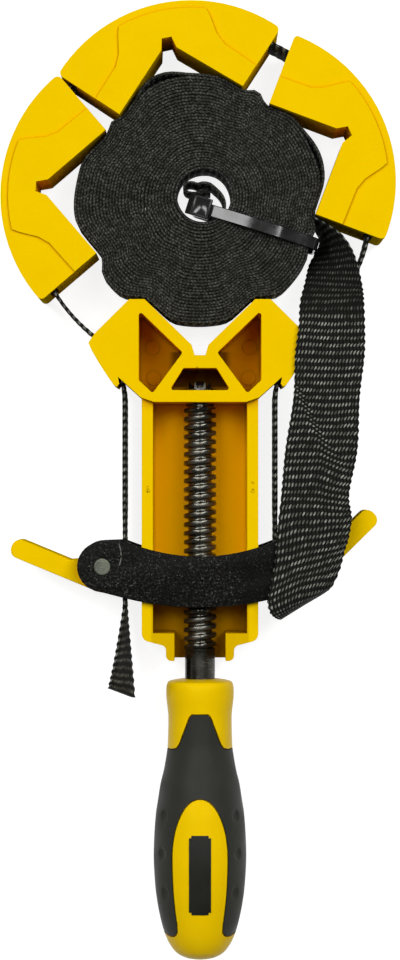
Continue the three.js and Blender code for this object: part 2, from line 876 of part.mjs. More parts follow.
function rollOutline(degrees) {
  const dents = tips.map((tip) => {
    const depth = rollRadius + strapHalf - tip.reach;
    const beyond = Math.max(turnFrom(degrees, tip.degrees) - roll.dentFlatDegrees, 0);
    return depth * Math.exp(-((beyond / roll.dentFadeDegrees) ** 2));
  });
  const tieTurn = turnFrom(degrees, tieSideDegrees);
  dents.push(roll.tieDent * Math.exp(-((tieTurn / roll.tieFadeDegrees) ** 2)));
  return rollRadius - Math.max(...dents);
}

// Centre line of the winding: clockwise outward, with the last stretch standing loose
function rollPath() {
  const steps = roll.loops * roll.stepsPerLoop;
  const stepDegrees = 360 / roll.stepsPerLoop;
  return Array.from({ length: steps + 1 }, (_, i) => {
    const degrees = roll.exitDegrees + (steps - i) * stepDegrees;
    const outer = rollOutline(degrees);
    const fromEnd = (steps - i) * stepDegrees + roll.exitDegrees - roll.bulgeDegrees;
    const rise = Math.max(1 - (fromEnd / roll.bulgeSpreadDegrees) ** 2, 0) ** 2;
    const radius = roll.holeRadius + ((outer - roll.holeRadius) * i) / steps + roll.bulge * rise;
    const [x, y] = polar(radius, degrees);
    return [x, ringY + y];
  });
}

const rollCentreLine = rollPath();
add('band_roll', strap(edgewise(rollCentreLine)), finishes.webbing);

// Least gap of the winding to itself, measured on its centre line one loop apart
const toSegment = ([px, py], [ax, ay], [bx, by]) => {
  const along = ((px - ax) * (bx - ax) + (py - ay) * (by - ay)) / ((bx - ax) ** 2 + (by - ay) ** 2);
  const share = THREE.MathUtils.clamp(along, 0, 1);
  return Math.hypot(px - ax - share * (bx - ax), py - ay - share * (by - ay));
};
let leastPitch = Infinity;
for (let i = roll.stepsPerLoop + 1; i < rollCentreLine.length; i += 1) {
  for (let k = i - roll.stepsPerLoop - 1; k <= i - roll.stepsPerLoop; k += 1) {
    const gap = toSegment(rollCentreLine[i], rollCentreLine[k], rollCentreLine[k + 1]);
    leastPitch = Math.min(leastPitch, gap);
  }
}
console.log(`least gap between turns of the roll: ${(leastPitch - strapThickness).toFixed(2)} mm`);

// Free end of the webbing between two edge curves, from the run's end to the roll's end
const pinToRing = ringY - pinY;
const frontPassZ = mouldDepth + frontPassGap + strapHalf;

function edgePoints(offset, start, end) {
  const between = freeStrapShares.map((row) => new THREE.Vector3(
    row[offset] * ringRadius,
    pinY + row[offset + 1] * pinToRing,
    row[offset + 2] * frontPassZ,
  ));
  const curve = new THREE.CatmullRomCurve3([start, ...between, end]);
  return curve.getPoints((freeStrapShares.length + 1) * freeStepsPerRow);
}

function betweenEdges(left, right) {
  return left.map((from, i) => {
    const to = right[i];
    const low = Math.max(i - 1, 0);
    const high = Math.min(i + 1, left.length - 1);
    const along = left[high].clone().add(right[high]).sub(left[low]).sub(right[low]);
    const across = to.clone().sub(from).multiplyScalar(0.5);
    return {
      centre: from.clone().add(to).multiplyScalar(0.5),
      across,
      out: along.cross(across).setLength(strapHalf),
    };
  });
}

// End station square to the length of webbing that it meets, a gap further along
function meeting(x, y, across, along, side) {
  const centre = new THREE.Vector3(x, y, midZ).addScaledVector(along, touchGap);
  return { centre, across, out: along.clone().cross(across).setLength(side * strapHalf) };
}

const strapBack = midZ - strapWidth / 2;
const strapFront = midZ + strapWidth / 2;
const [rollEndX, rollEndY] = rollCentreLine.at(-1);
const [beforeEndX, beforeEndY] = rollCentreLine.at(-2);
const freeStations = betweenEdges(
  edgePoints(
    0,
    new THREE.Vector3(runX, runEndY, strapFront),
    new THREE.Vector3(rollEndX, rollEndY, strapBack),
  ),
  edgePoints(
    3,
    new THREE.Vector3(runX, runEndY, strapBack),
    new THREE.Vector3(rollEndX, rollEndY, strapFront),
  ),
);
const edgeAcross = new THREE.Vector3(0, 0, strapWidth / 2);
const downRun = new THREE.Vector3(0, -1, 0);
const offRoll = new THREE.Vector3(rollEndX - beforeEndX, rollEndY - beforeEndY, 0).normalize();
freeStations[0] = meeting(runX, runEndY, edgeAcross.clone().negate(), downRun, 1);
freeStations.push(meeting(rollEndX, rollEndY, edgeAcross, offRoll, -1));
freeStations.splice(-2, 1);

const foldEnd = foldRows * freeStepsPerRow;
const freeStrap = freeStations.slice(foldEnd);
const cutShare = touchGap / freeStrap[0].centre.distanceTo(freeStrap[1].centre);
freeStrap[0] = {
  ...freeStrap[0],
  centre: freeStrap[0].centre.clone().lerp(freeStrap[1].centre, cutShare),
};
add('band_fold', strap(freeStations.slice(0, foldEnd + 1)), finishes.webbing);
add('band_free_strap', strap(freeStrap), finishes.webbing);

// Cable tie: a closed band through the roll's hole and over its side, with its head on top
function cableTie() {
  const halfWidth = tie.width / 2;
  const reach = rollRadius - roll.tieDent + strapHalf + touchGap;
  const round = tie.thickness;
  const band = (grow) => [
    [tie.innerLeg - grow, strapBack - touchGap - grow, round + grow],
    [reach + grow, strapBack - touchGap - grow, round + grow],
    [reach + grow, strapFront + touchGap + grow, round + grow],
    [tie.innerLeg - grow, strapFront + touchGap + grow, round + grow],
  ];
  const loop = extruded(outline(band(tie.thickness)), -halfWidth, halfWidth)
    .subtract(extruded(outline(band(0)), -halfWidth - overrun, halfWidth + overrun));
  const headBase = strapFront + touchGap + tie.thickness - tie.headLift;
  const block = extruded(outline([
    [tie.innerLeg - tie.headLength / 2, headBase, tie.thickness / 2],
    [tie.innerLeg + tie.headLength / 2, headBase, tie.thickness / 2],
    [tie.innerLeg + tie.headLength / 2, headBase + tie.headHeight, tie.thickness / 2],
    [tie.innerLeg - tie.headLength / 2, headBase + tie.headHeight, tie.thickness / 2],
  ]), -tie.headWidth / 2, tie.headWidth / 2);
  return loop.add(block);
}

const tiePlace = new THREE.Matrix4().makeTranslation(0, ringY, 0)
  .multiply(new THREE.Matrix4().makeRotationZ(THREE.MathUtils.degToRad(tie.degrees)))
  .multiply(new THREE.Matrix4().makeTranslation(0, tie.offset, 0))
  .multiply(new THREE.Matrix4().makeRotationX(Math.PI / 2));
add('cable_tie', cableTie(), finishes.nylon, tiePlace);

export default clamp;
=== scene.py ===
"""Visual model of a screw-tensioned band clamp, on its back with its spare webbing rolled up.

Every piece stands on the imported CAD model, in metres: X across, Y along the spindle, Z up.
"""

import itertools
import json
import math

import bmesh
import bpy
from mathutils import Matrix, Vector, noise
from mathutils.bvhtree import BVHTree


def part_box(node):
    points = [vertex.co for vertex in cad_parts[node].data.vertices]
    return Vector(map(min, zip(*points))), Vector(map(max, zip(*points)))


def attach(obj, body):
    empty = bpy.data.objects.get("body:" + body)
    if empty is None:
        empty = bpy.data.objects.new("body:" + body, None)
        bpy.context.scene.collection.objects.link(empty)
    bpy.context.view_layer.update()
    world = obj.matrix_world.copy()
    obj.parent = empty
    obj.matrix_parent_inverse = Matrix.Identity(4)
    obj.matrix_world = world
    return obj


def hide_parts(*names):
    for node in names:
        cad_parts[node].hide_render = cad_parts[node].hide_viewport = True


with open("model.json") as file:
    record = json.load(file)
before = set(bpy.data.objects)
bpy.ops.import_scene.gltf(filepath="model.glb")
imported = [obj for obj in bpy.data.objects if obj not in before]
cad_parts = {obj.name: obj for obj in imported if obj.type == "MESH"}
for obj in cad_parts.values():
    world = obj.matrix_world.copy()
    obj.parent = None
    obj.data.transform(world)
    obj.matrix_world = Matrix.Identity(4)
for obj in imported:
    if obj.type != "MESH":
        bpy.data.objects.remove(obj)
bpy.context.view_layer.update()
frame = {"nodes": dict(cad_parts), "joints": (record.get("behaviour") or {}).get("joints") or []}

bl_info = {
    "name": "Band clamp",
    "version": (1, 0, 0),
    "blender": (4, 5, 0),
    "location": "View3D > Sidebar > Clamp",
    "description": "Builds a band clamp with its webbing rolled up, over its CAD model",
    "category": "Object",
}

MM = 0.001
FULL_TURN = 2 * math.pi
UP = Vector((0, 0, 1))


def number(description, value, **kind):
    """A number as a property."""
    return bpy.props.FloatProperty(description=description, default=value, **kind)


def length(description, millimetres):
    """A size as a property, given in millimetres and kept in metres."""
    return number(description, millimetres * MM, unit="LENGTH", precision=5)


def colour(description, *values):
    """A linear colour as a property."""
    return bpy.props.FloatVectorProperty(
        description=description, default=values, subtype="COLOR", size=3, min=0, max=1
    )


class MouldingSizes(bpy.types.PropertyGroup):
    """Finish of the moulded and pressed pieces."""

    edge: length("Round of the mouldings' edges", 0.45)
    plate_edge: length("Round of the pressed plates' edges", 0.35)
    ejector: length("Radius of the marks on the pocket floors", 2.6)
    yellow: colour("Colour of the moulded plastic", 0.84, 0.545, 0.0)
    black: colour("Colour of the paint on the plates", 0.004, 0.004, 0.0035)


class ScrewSizes(bpy.types.PropertyGroup):
    """Spindle and its thread."""

    pitch: length("Rise of the thread in one turn", 3.175)
    crest: length("Radius over the thread's crests", 5.95)
    root: length("Radius at the thread's root", 4.35)
    phase: length("Shift of the thread along the spindle", -0.9)
    shank: length("Radius of the plain stretch below the thread", 5.45)
    rivet: colour("Colour of the rivets' heads", 0.115, 0.125, 0.09)
    steel: colour("Colour of the blackened steel", 0.1, 0.097, 0.08)
    bright: colour("Colour of the nut", 0.3, 0.31, 0.27)


class HandleSizes(bpy.types.PropertyGroup):
    """Handle with its two plastics."""

    seam: length("Width of the groove between the two plastics", 0.35)
    grip_edge: length("Round of the soft grip's edges", 0.5)
    dimple: length("Depth of the finger dimples", 0.8)
    dimple_ball: length("Radius of the ball that forms a dimple", 4.2)
    panel_width: length("Width of the bare panel", 7.9)
    panel_length: length("Length of the bare panel", 28.6)
    panel_middle: length("Place of the panel's middle along the spindle", -141.4)
    grip: colour("Colour of the soft grip", 0.017, 0.018, 0.013)


class WebbingSizes(bpy.types.PropertyGroup):
    """Flat webbing and the tie that holds its roll."""

    thickness: length("Thickness of the webbing", 1.0)
    rib: length("Spacing of the ribs along the webbing", 2.65)
    yarn: length("Spacing of the yarns across the webbing", 1.26)
    stitch: length("Spacing of the stitches along the webbing's edge", 1.25)
    turns: number("Turns of the roll", 32.34)
    ground: colour("Colour between the yarns", 0.004, 0.0042, 0.003)
    # The yarns' pale colour is partly their own and partly a painted highlight
    yarns: colour("Colour of the yarns", 0.33, 0.34, 0.29)
    nylon: colour("Colour of the cable tie", 0.01, 0.011, 0.01)


class StageSizes(bpy.types.PropertyGroup):
    """Camera, lights and floor."""

    height: number("Height of the camera", 1.126, unit="LENGTH")
    lens: number("Focal length on a film 36 mm long", 114.7, unit="CAMERA")
    key: number("Power of each lamp", 40)
    spread: number("Tilt of each lamp to its side", math.radians(26), subtype="ANGLE")
    lean: number("Tilt of the lamps toward the ring", math.radians(22), subtype="ANGLE")
    sky: number("Strength of the room's light", 0.12)


# Meshes


def midpoint(node):
    """Middle of a CAD node's box."""
    low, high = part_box(node)
    return (low + high) / 2


SPINDLE_Z = midpoint("spindle").z
SPINDLE = Vector((0, 0, SPINDLE_Z))
RING = Vector(next(j for j in frame["joints"] if j["name"] == "top_corner_slide")["pos_m"])
PIN = midpoint("right_pivot_rivet")
WEB_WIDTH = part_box("band_ring")[1].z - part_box("band_ring")[0].z

# How near two points, two upright edges and two levels count as one

MERGED = 0.002 * MM
SAME_EDGE = 0.6 * MM
SAME_LEVEL = 0.02 * MM

# What a cut or a boolean reaches through, and the bend that is still flat

ALL_HEIGHTS = (-1 * MM, 40 * MM)
FLAT = math.radians(1)


def linked(name, data):
    """A new object in the scene."""
    obj = bpy.data.objects.new(name, data)
    bpy.context.scene.collection.objects.link(obj)
    return obj


def mesh_of(bm, name):
    """A new mesh of a bmesh, which is used up."""
    mesh = bpy.data.meshes.new(name)
    bm.to_mesh(mesh)
    bm.free()
    return mesh


def piece(bm, name, material, body, nodes=(), sharp=35.0, flat=False):
    """Makes a finished piece of a bmesh, which rides on a CAD body and stands for CAD nodes."""
    name = name.replace(" ", "_")
    bmesh.ops.recalc_face_normals(bm, faces=bm.faces)
    mesh = mesh_of(bm, name)
    mesh.shade_smooth()
    mesh.set_sharp_from_angle(angle=math.radians(sharp))
    mesh.materials.append(material)
    obj = linked(name, mesh)
    if flat:
        obj.modifiers.new("Flat faces", "WEIGHTED_NORMAL").keep_sharp = True
    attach(obj, body)
    if nodes:
        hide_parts(*nodes)


def finish_node(node, material):
    """Gives a CAD node that stays in view its material."""
    mesh = frame["nodes"][node].data
    mesh.materials.clear()
    mesh.materials.append(material)


def merge(bm, distance=MERGED):
    """Merges the points of a bmesh that lie in one place."""
    bmesh.ops.remove_doubles(bm, verts=bm.verts, dist=distance)


def bent(bm, degrees):
    """Edges of a bmesh where its faces turn by more than an angle."""
    limit = math.radians(degrees)
    return [e for e in bm.edges if e.is_manifold and e.calc_face_angle() > limit]


def rounded(bm, edges, offset, segments):
    """Rounds edges of a bmesh."""
    bmesh.ops.bevel(
        bm, geom=edges, offset=offset, offset_type="OFFSET", segments=segments, profile=0.5,
        affect="EDGES", clamp_overlap=True, material=-1,
    )


def drawn_out(bm, face, way):
    """Draws a face of a bmesh out by a vector and gives the points that moved."""
    geometry = bmesh.ops.extrude_face_region(bm, geom=[face])["geom"]
    moved = [v for v in geometry if isinstance(v, bmesh.types.BMVert)]
    bmesh.ops.translate(bm, verts=moved, vec=way)
    return moved


def prism(points, low, high):
    """A bmesh of a flat outline in plan, drawn up from one height to another."""
    bm = bmesh.new()
    drawn_out(bm, bm.faces.new([bm.verts.new((x, y, low)) for x, y in points]), (0, 0, high - low))
    bmesh.ops.recalc_face_normals(bm, faces=bm.faces)
    return bm


def spun(profile, steps, centre=SPINDLE, axis=Vector((0, 1, 0)), outward=UP, bm=None):
    """A closed solid of revolution, added to a bmesh: its profile is (place along the axis, radius)."""
    bm = bmesh.new() if bm is None else bm
    rows = [bm.verts.new(centre + axis * along + outward * radius) for along, radius in profile]
    edges = [bm.edges.new(pair) for pair in zip(rows, rows[1:])]
    bmesh.ops.spin(
        bm, geom=rows + edges, cent=centre, axis=axis, angle=FULL_TURN, steps=steps, use_merge=True
    )
    merge(bm)
    return bm


def carved(first, second, operation):
    """Boolean of two bmeshes, which are used up, as a new bmesh."""
    holders = []
    for bm in (first, second):
        bmesh.ops.recalc_face_normals(bm, faces=bm.faces)
        holders.append(linked("carving", mesh_of(bm, "carving")))
    cut = holders[0].modifiers.new("Cut", "BOOLEAN")
    cut.operation = operation
    cut.solver = "EXACT"
    cut.object = holders[1]
    bpy.context.view_layer.update()
    shown = holders[0].evaluated_get(bpy.context.evaluated_depsgraph_get())
    result = bmesh.new()
    result.from_mesh(shown.data)
    for holder in holders:
        mesh = holder.data
        bpy.data.objects.remove(holder)
        bpy.data.meshes.remove(mesh)
    merge(result)
    return result


def joined(first, second):
    """One bmesh with the shells of both, which are used up."""
    mesh = mesh_of(second, "joined")
    first.from_mesh(mesh)
    bpy.data.meshes.remove(mesh)
    return first


def dressed(node, edge, sharp=30.0, segments=2, moves=(), sunk=None, cut=()):
    """A bmesh of a CAD node, cut, with upright edges moved, a level lowered and its sharp edges rounded."""
    bm = bmesh.new()
    bm.from_mesh(frame["nodes"][node].data)
    merge(bm)
    if cut:
        bm = carved(bm, prism([(x * MM, y * MM) for x, y in cut], *ALL_HEIGHTS), "DIFFERENCE")
    bmesh.ops.dissolve_limit(bm, angle_limit=FLAT, verts=bm.verts, edges=bm.edges)
    for x, y, right, ahead in moves:
        near = [v for v in bm.verts if math.hypot(v.co.x - x * MM, v.co.y - y * MM) < SAME_EDGE]
        bmesh.ops.translate(bm, verts=near, vec=(right * MM, ahead * MM, 0))
    if sunk:
        level, depth = sunk
        rim = [v for v in bm.verts if abs(v.co.z - level) < SAME_LEVEL]
        bmesh.ops.translate(bm, verts=rim, vec=(0, 0, -depth))
    rounded(bm, bent(bm, sharp), edge, segments)
    return bm


# Materials


class Value:
    """An output of a node, which takes part in sums as a number does."""

    def __init__(self, nodes, socket):
        self.nodes = nodes
        self.socket = socket

    def __add__(self, other):
        return self.nodes.math("ADD", self, other)

    def __sub__(self, other):
        return self.nodes.math("SUBTRACT", self, other)

    def __mul__(self, other):
        return self.nodes.math("MULTIPLY", self, other)

    def __truediv__(self, other):
        return self.nodes.math("DIVIDE", self, other)

    def __abs__(self):
        return self.nodes.math("ABSOLUTE", self)


class Nodes:
    """A node tree, written as sums and nested calls."""

    def __init__(self, tree):
        self.tree = tree

    def feed(self, socket, value):
        """Links an output to a socket, or sets the socket to a plain value."""
        if isinstance(value, Value):
            self.tree.links.new(value.socket, socket)
        else:
            socket.default_value = value

    def add(self, kind, inputs=(), output=0, **settings):
        """An output of a new node, whose inputs are given by name or place."""
        node = self.tree.nodes.new("ShaderNode" + kind)
        for key, value in settings.items():
            setattr(node, key, value)
        for key, value in dict(inputs).items():
            self.feed(node.inputs[key], value)
        return Value(self, node.outputs[output])

    def math(self, operation, *values):
        return self.add("Math", enumerate(values), operation=operation)

    def larger(self, first, second):
        return self.math("MAXIMUM", first, second)

    def squared(self, value, size):
        """How far a value lies from 0 in sizes, squared."""
        return self.math("POWER", abs(value) / size, 2.0)

    def vector(self, operation, *values):
        kind = "Value" if operation in ("LENGTH", "DISTANCE") else "Vector"
        return self.add("VectorMath", enumerate(values), kind, operation=operation)

    def parts(self, vector):
        split = self.add("SeparateXYZ", {0: vector}).socket.node
        return [Value(self, socket) for socket in split.outputs]

    def smooth(self, value, low, high, start=0.0, end=1.0, kind="SMOOTHSTEP"):
        """A value's way from low to high as the way from start to end; low may be the larger one."""
        return self.add("MapRange", enumerate((value, low, high, start, end)), interpolation_type=kind)

    def mix(self, factor, first, second):
        return self.add("Mix", {0: factor, 2: first, 3: second}, data_type="FLOAT")

    def blend(self, factor, first, second):
        return self.add("Mix", {0: factor, 6: first, 7: second}, 2, data_type="RGBA")


class Shader(Nodes):
    """The node tree of a new material, with patterns in the place of the piece in metres."""

    def __init__(self, name):
        self.material = bpy.data.materials.new(name)
        self.material.use_nodes = True
        super().__init__(self.material.node_tree)
        self.place = self.add("TexCoord", output="Object")

    def noise(self, scale, detail=2.0, stretch=(1, 1, 1)):
        at = self.vector("MULTIPLY", self.place, stretch)
        return self.add("TexNoise", {"Vector": at, "Scale": scale, "Detail": detail}, "Fac")

    def cells(self, scale):
        return self.add("TexVoronoi", {"Vector": self.place, "Scale": scale}, "Distance")

    def openness(self, reach):
        """How open a place is within a reach: 1 on a bare face, near 0 in a deep corner."""
        return self.add("AmbientOcclusion", {"Distance": reach}, "AO", samples=8, only_local=True)

    def bump(self, height, distance, strength):
        return self.add("Bump", {"Height": height, "Distance": distance, "Strength": strength}, "Normal")

    def set(self, **sockets):
        """Feeds the material's surface and gives the material."""
        for name, value in sockets.items():
            self.feed(self.tree.nodes["Principled BSDF"].inputs[name.replace("_", " ")], value)
        return self.material


def rgba(values, scale=1.0):
    """A colour with full alpha."""
    return (*[v * scale for v in values], 1.0)


# Marks on the channel's rims and at the window: x, y and radius in millimetres

SCUFFS = [(-18.6, -3.9, 1.1), (-18.9, -2.6, 0.7), (18.9, -3.9, 1.1), (18.9, -0.9, 0.8), (-1.1, 40.0, 0.7)]

# The plastic's painted shade, from open to closed places, its painted shadow, and its colour where it is
# dirty or worn

SHADED = (0.97, 0.47, 0.0, 1)
DEEP_SHADE = (0.79, 0.36, 0.0, 1)
CREVICE_SHADE = (0.4, 0.2, 0.0, 1)
SHADOW_COLOUR = (0.26, 0.1, 0.0, 1)
DIRTY = (0.12, 0.06, 0.0, 1)
WORN = (0.8, 0.56, 0.01, 1)


def moulded_plastic(sizes, name, gloss):
    """Satin plastic with painted shade that turns it deeper orange in its pockets and corners, a painted
    shadow in the window and the channel's low end, a faint mottle, scuffs and specks of dirt.
    """
    s = Shader(name)
    mottle = s.noise(70, 3)
    rub = s.smooth(s.noise(160, 4, (1, 0.25, 1)), 0.55, 0.75)
    speck = s.smooth(s.cells(330), 0.0, 0.09, 1.0, 0.0)
    dirt = speck * s.smooth(s.noise(45, 1), 0.58, 0.62) * 0.55
    for x, y, radius in SCUFFS:
        away = s.vector("DISTANCE", s.vector("MULTIPLY", s.place, (1, 1, 0)), (x * MM, y * MM, 0))
        mark = s.smooth(away, 0.3 * radius * MM, radius * MM, 0.8, 0.0)
        dirt = s.larger(dirt, mark * s.smooth(s.noise(1400), 0.35, 0.6))
    base = s.blend(mottle, rgba(sizes.yellow, 0.95), rgba(sizes.yellow, 1.04))
    # Painted shade: the more closed in a place is, the deeper orange and darker its colour, down to a dark
    # line in the creases at the steps
    sky = s.openness(40 * MM)
    base = s.blend(s.smooth(sky, 0.45, 0.95, 1.0, 0.0), base, SHADED)
    base = s.blend(s.smooth(sky, 0.05, 0.38, 1.0, 0.0), base, DEEP_SHADE)
    base = s.blend(s.smooth(s.openness(1.6 * MM), 0.5, 0.95, 0.55, 0.0), base, CREVICE_SHADE)
    # Painted shadow: the head's window and the channel's low end below the yoke are darkened, down from the
    # front face
    x, y, z = s.parts(s.place)
    window = s.smooth(abs(x), 12 * MM, 9 * MM) * s.smooth(abs(y - 40.5 * MM), 7 * MM, 6 * MM)
    low_end = s.smooth(abs(x), 18 * MM, 17 * MM) * s.smooth(y, -39 * MM, -44 * MM)
    low_end *= s.smooth(y, -70 * MM, -67 * MM)
    painted_shadow = s.larger(window, low_end * 0.6) * s.smooth(z, 33.5 * MM, 26 * MM)
    base = s.blend(rub * 0.12, s.blend(painted_shadow, base, SHADOW_COLOUR), WORN)
    return s.set(
        Base_Color=s.blend(dirt, base, DIRTY),
        Roughness=s.smooth(mottle, 0.3, 0.7, 0.36, 0.46),
        Normal=s.bump(s.noise(1500, 2) + s.noise(260, 2) * 1.6, 0.05 * MM, 0.5),
        Specular_IOR_Level=gloss,
        Specular_Tint=(1, 0.75, 0.08, 1),
        Subsurface_Weight=0.06,
        Subsurface_Radius=(2.0, 1.0, 0.2),
        Subsurface_Scale=1 * MM,
    )


# The arc that the left lever rubs on the front plate: its middle beside the pin, and its radius

ARC_MIDDLE = (-PIN.x - 3.1 * MM, PIN.y + 4.1 * MM, 0)
ARC_RADIUS = 9.9 * MM


def painted_steel(sizes):
    """Black paint over pressed plate: fine dust, faint brush lines and an arc rubbed by the left lever."""
    s = Shader("painted plate")
    lines = s.noise(60, 5, (1, 22, 1))
    specks = s.smooth(s.cells(1300), 0.05, 0.36, 1.0, 0.0)
    patch = s.smooth(s.noise(45, 3), 0.38, 0.6, 0.3, 1.0)
    offset = s.vector("SUBTRACT", s.place, ARC_MIDDLE)
    x, y, _ = s.parts(offset)
    away = s.vector("LENGTH", s.vector("MULTIPLY", offset, (1, 1, 0)))
    rubbed = s.smooth(abs(away - ARC_RADIUS), 0.08 * MM, 0.3 * MM, 1, 0)
    rubbed *= s.smooth(x, 0, 2 * MM) * s.smooth(abs(y), 4.4 * MM, 3.4 * MM)
    rubbed *= s.smooth(s.noise(500), 0.3, 0.55)
    dusty = specks * s.smooth(s.noise(900, 1), 0.48, 0.62) * patch
    film = s.smooth(s.noise(1100, 4), 0.42, 0.72) * s.smooth(lines, 0.3, 0.62, 0.4, 1.0)
    base = s.blend(film * patch, rgba(sizes.black), rgba(sizes.black, 7))
    return s.set(
        Base_Color=s.blend(s.larger(dusty * 0.6, rubbed * 0.6), base, (0.26, 0.26, 0.23, 1)),
        Roughness=s.smooth(lines, 0.3, 0.7, 0.36, 0.5),
        Normal=s.bump(lines + s.noise(900, 2), 0.08 * MM, 0.5),
        Specular_IOR_Level=0.04,
    )


def turned_steel(name, base, roughness, metallic, worn):
    """Turned steel with rubbed places and oil-dark patches, darker toward the spindle's lower end."""
    s = Shader(name)
    film = s.noise(140, 4)
    lines = s.noise(300, 3, (1, 8, 1))
    tone = s.blend(s.smooth(film, 0.35, 0.7), rgba(base, 0.6), rgba(base, 1.3))
    # Darker toward the spindle's lower end
    darker_low_end = s.smooth(s.parts(s.place)[1], -58 * MM, -62 * MM)
    tone = s.blend(darker_low_end * 0.75, tone, rgba(base, 0.25))
    return s.set(
        Base_Color=s.blend(s.smooth(lines, 0.55, 0.8) * worn, tone, rgba(base, 4)),
        Roughness=s.smooth(film, 0.3, 0.7, roughness - 0.08, roughness + 0.14),
        Normal=s.bump(s.noise(1300, 2), 0.03 * MM, 0.5),
        Metallic=metallic,
    )


def soft_plastic(name, base, roughness):
    """Soft black grip with a fine matt grain."""
    s = Shader(name)
    cloud = s.noise(90, 3)
    dust = s.smooth(s.cells(420), 0.0, 0.06, 0.5, 0.0)
    tone = s.blend(cloud, rgba(base, 0.8), rgba(base, 1.35))
    return s.set(
        Base_Color=s.blend(dust * cloud, tone, (0.25, 0.24, 0.22, 1)),
        Roughness=s.smooth(cloud, 0.3, 0.7, roughness - 0.06, roughness + 0.08),
        Normal=s.bump(s.noise(1900, 3), 0.06 * MM, 0.6),
        Specular_IOR_Level=0.2,
    )


def woven(sizes, name, stitch, edge_light, matted=False):
    """Webbing: rows of slanted pale yarns on its faces, whose paleness is partly a painted highlight; its
    edges are stitched, or matted in the roll.

    The UV map holds millimetres: along the webbing, and round its section from one edge.
    """
    s = Shader(name)
    u, v, _ = s.parts(s.add("UVMap", uv_map="webbing"))
    width, rib, yarn = WEB_WIDTH / MM, sizes.rib / MM, sizes.yarn / MM
    # Rows of slanted yarns, each yarn with a paleness of its own that is partly a painted highlight, and
    # fainter ones between the rows
    rows = (u + (s.noise(75, 2) - 0.5) * 2.6) / rib
    ends = v / yarn
    up = (s.math("FRACT", rows) - 0.5) * rib
    over = (s.math("FRACT", ends) - 0.5) * yarn
    dot = s.smooth(s.squared(over + up * 0.36, 0.41) + s.squared(up, 0.8), 0.1, 1.25, 1.0, 0.0)
    below = abs(up) - rib / 2
    faint = s.squared(over + below * 0.9, 0.26) + s.squared(below, 0.6)
    faint = s.smooth(faint, 0.2, 1.3, 0.06, 0.0)
    whole = s.add("CombineXYZ", {0: s.math("FLOOR", rows), 1: s.math("FLOOR", ends)})
    own = s.add("TexWhiteNoise", {"Vector": whole}, "Value", noise_dimensions="2D")
    face = s.larger(dot * s.smooth(own, 0, 1, 0.35, 1.25), faint)
    # Painted shade: the free strap's upper end, which is tucked in beside the roll, is darkened
    x, y, _ = s.parts(s.place)
    tuck_shade = s.smooth(y, 54 * MM, 63 * MM) * s.smooth(y, 90 * MM, 86 * MM)
    face *= s.smooth(tuck_shade * s.smooth(x, 34 * MM, 37 * MM), 0, 1, 1, 0.3)
    # Stitches over both edges, or fibres matted with pits and a groove in each edge
    middle = s.math("MODULO", v, width + 1) - (width + 0.5)
    beside = (s.math("FRACT", u / stitch + middle * 0.3) - 0.5) * stitch
    stroke = s.squared(beside, 0.29 * stitch) + s.squared(middle, 0.4)
    stroke = s.smooth(stroke, 0.1, 1.3, 1.0, 0.0)
    edge = s.smooth(abs(middle), 0.5, 0.62, 1.0, 0.0)
    if matted:
        pits = s.smooth(s.noise(1250, 2), 0.3, 0.45, 0.1, 1.0)
        groove = s.smooth(abs(middle), 0.3, 0.8, 1.0, 0.4)
        stroke = s.smooth(s.noise(1050, 2) + stroke * 0.3, 0.42, 0.92, 0.12, 1.0) * (pits * groove)
        edge = s.smooth(abs(middle), 0.9, 1.2, 1.0, 0.0)
    fibre = s.noise(2600, 2)
    mask = s.mix(edge, face, stroke * edge_light)
    lit = mask * s.smooth(s.noise(420, 3), 0.35, 0.7, 0.4, 1.0) * s.smooth(fibre, 0.2, 0.8, 0.6, 1.2)
    return s.set(
        Base_Color=s.blend(lit, rgba(sizes.ground), rgba(sizes.yarns)),
        Roughness=s.smooth(mask, 0.0, 1.0, 0.9, 0.6),
        Normal=s.bump(mask + fibre * 0.25, 0.2 * MM, 0.8),
        Specular_IOR_Level=0.12,
    )


def tie_nylon(sizes):
    """Glossy black nylon, a little uneven."""
    s = Shader("tie nylon")
    cloud = s.noise(200, 2)
    return s.set(
        Base_Color=s.blend(cloud, rgba(sizes.nylon, 0.8), rgba(sizes.nylon, 1.3)),
        Roughness=s.smooth(cloud, 0.3, 0.7, 0.1, 0.18),
        Normal=s.bump(s.noise(700, 2), 0.03 * MM, 0.25),
    )


# Moulded body: marks on the pockets' floors, x and y in millimetres

POCKET_FLOOR = 4.0 * MM
EJECTOR_PLACES = [(-17.3, 48.6), (-17.0, 37.3), (18.2, 48.6), (17.8, 37.4)]
EJECTOR_HEIGHT = 1.2 * MM
EJECTOR_TAPER = 0.96


class CLAMP_OT_body(bpy.types.Operator):
    """Moulded body with its V jaw, pockets and channel"""

    bl_idname = "clamp.body"
    bl_label = "Body"

    def execute(self, context):
        sizes = context.scene.clamp_moulding
        bm = dressed("frame_body", sizes.edge)
        yellow = moulded_plastic(sizes, "yellow plastic", 0.0)
        for x, y in EJECTOR_PLACES:
            bmesh.ops.create_cone(
                bm, cap_ends=True, segments=32, radius1=sizes.ejector,
                radius2=sizes.ejector * EJECTOR_TAPER, depth=EJECTOR_HEIGHT,
                matrix=Matrix.Translation((x * MM, y * MM, POCKET_FLOOR)),
            )
        piece(bm, "moulded body", yellow, "frame", ["frame_body"], flat=True)
        return {"FINISHED"}


# An upright edge of the top block that stands elsewhere than in the CAD (x, y and shift, in
# millimetres), and the level of the blocks' outer rim with how far it lies lower

BLOCK_TIPS = {"top": [(14.42, 139.57, 0.9, 1.1)]}
BLOCK_RIM = (33.6 * MM, 0.4 * MM)

# What is cut off the right block's upper end, in plan, in millimetres

BLOCK_CUTS = {
    "right": [
        (24.05, 132.67), (33.25, 157.2), (33.6, 158.0), (34.3, 158.6), (35.3, 158.85), (36, 162),
        (18, 162), (18, 132.67),
    ]
}


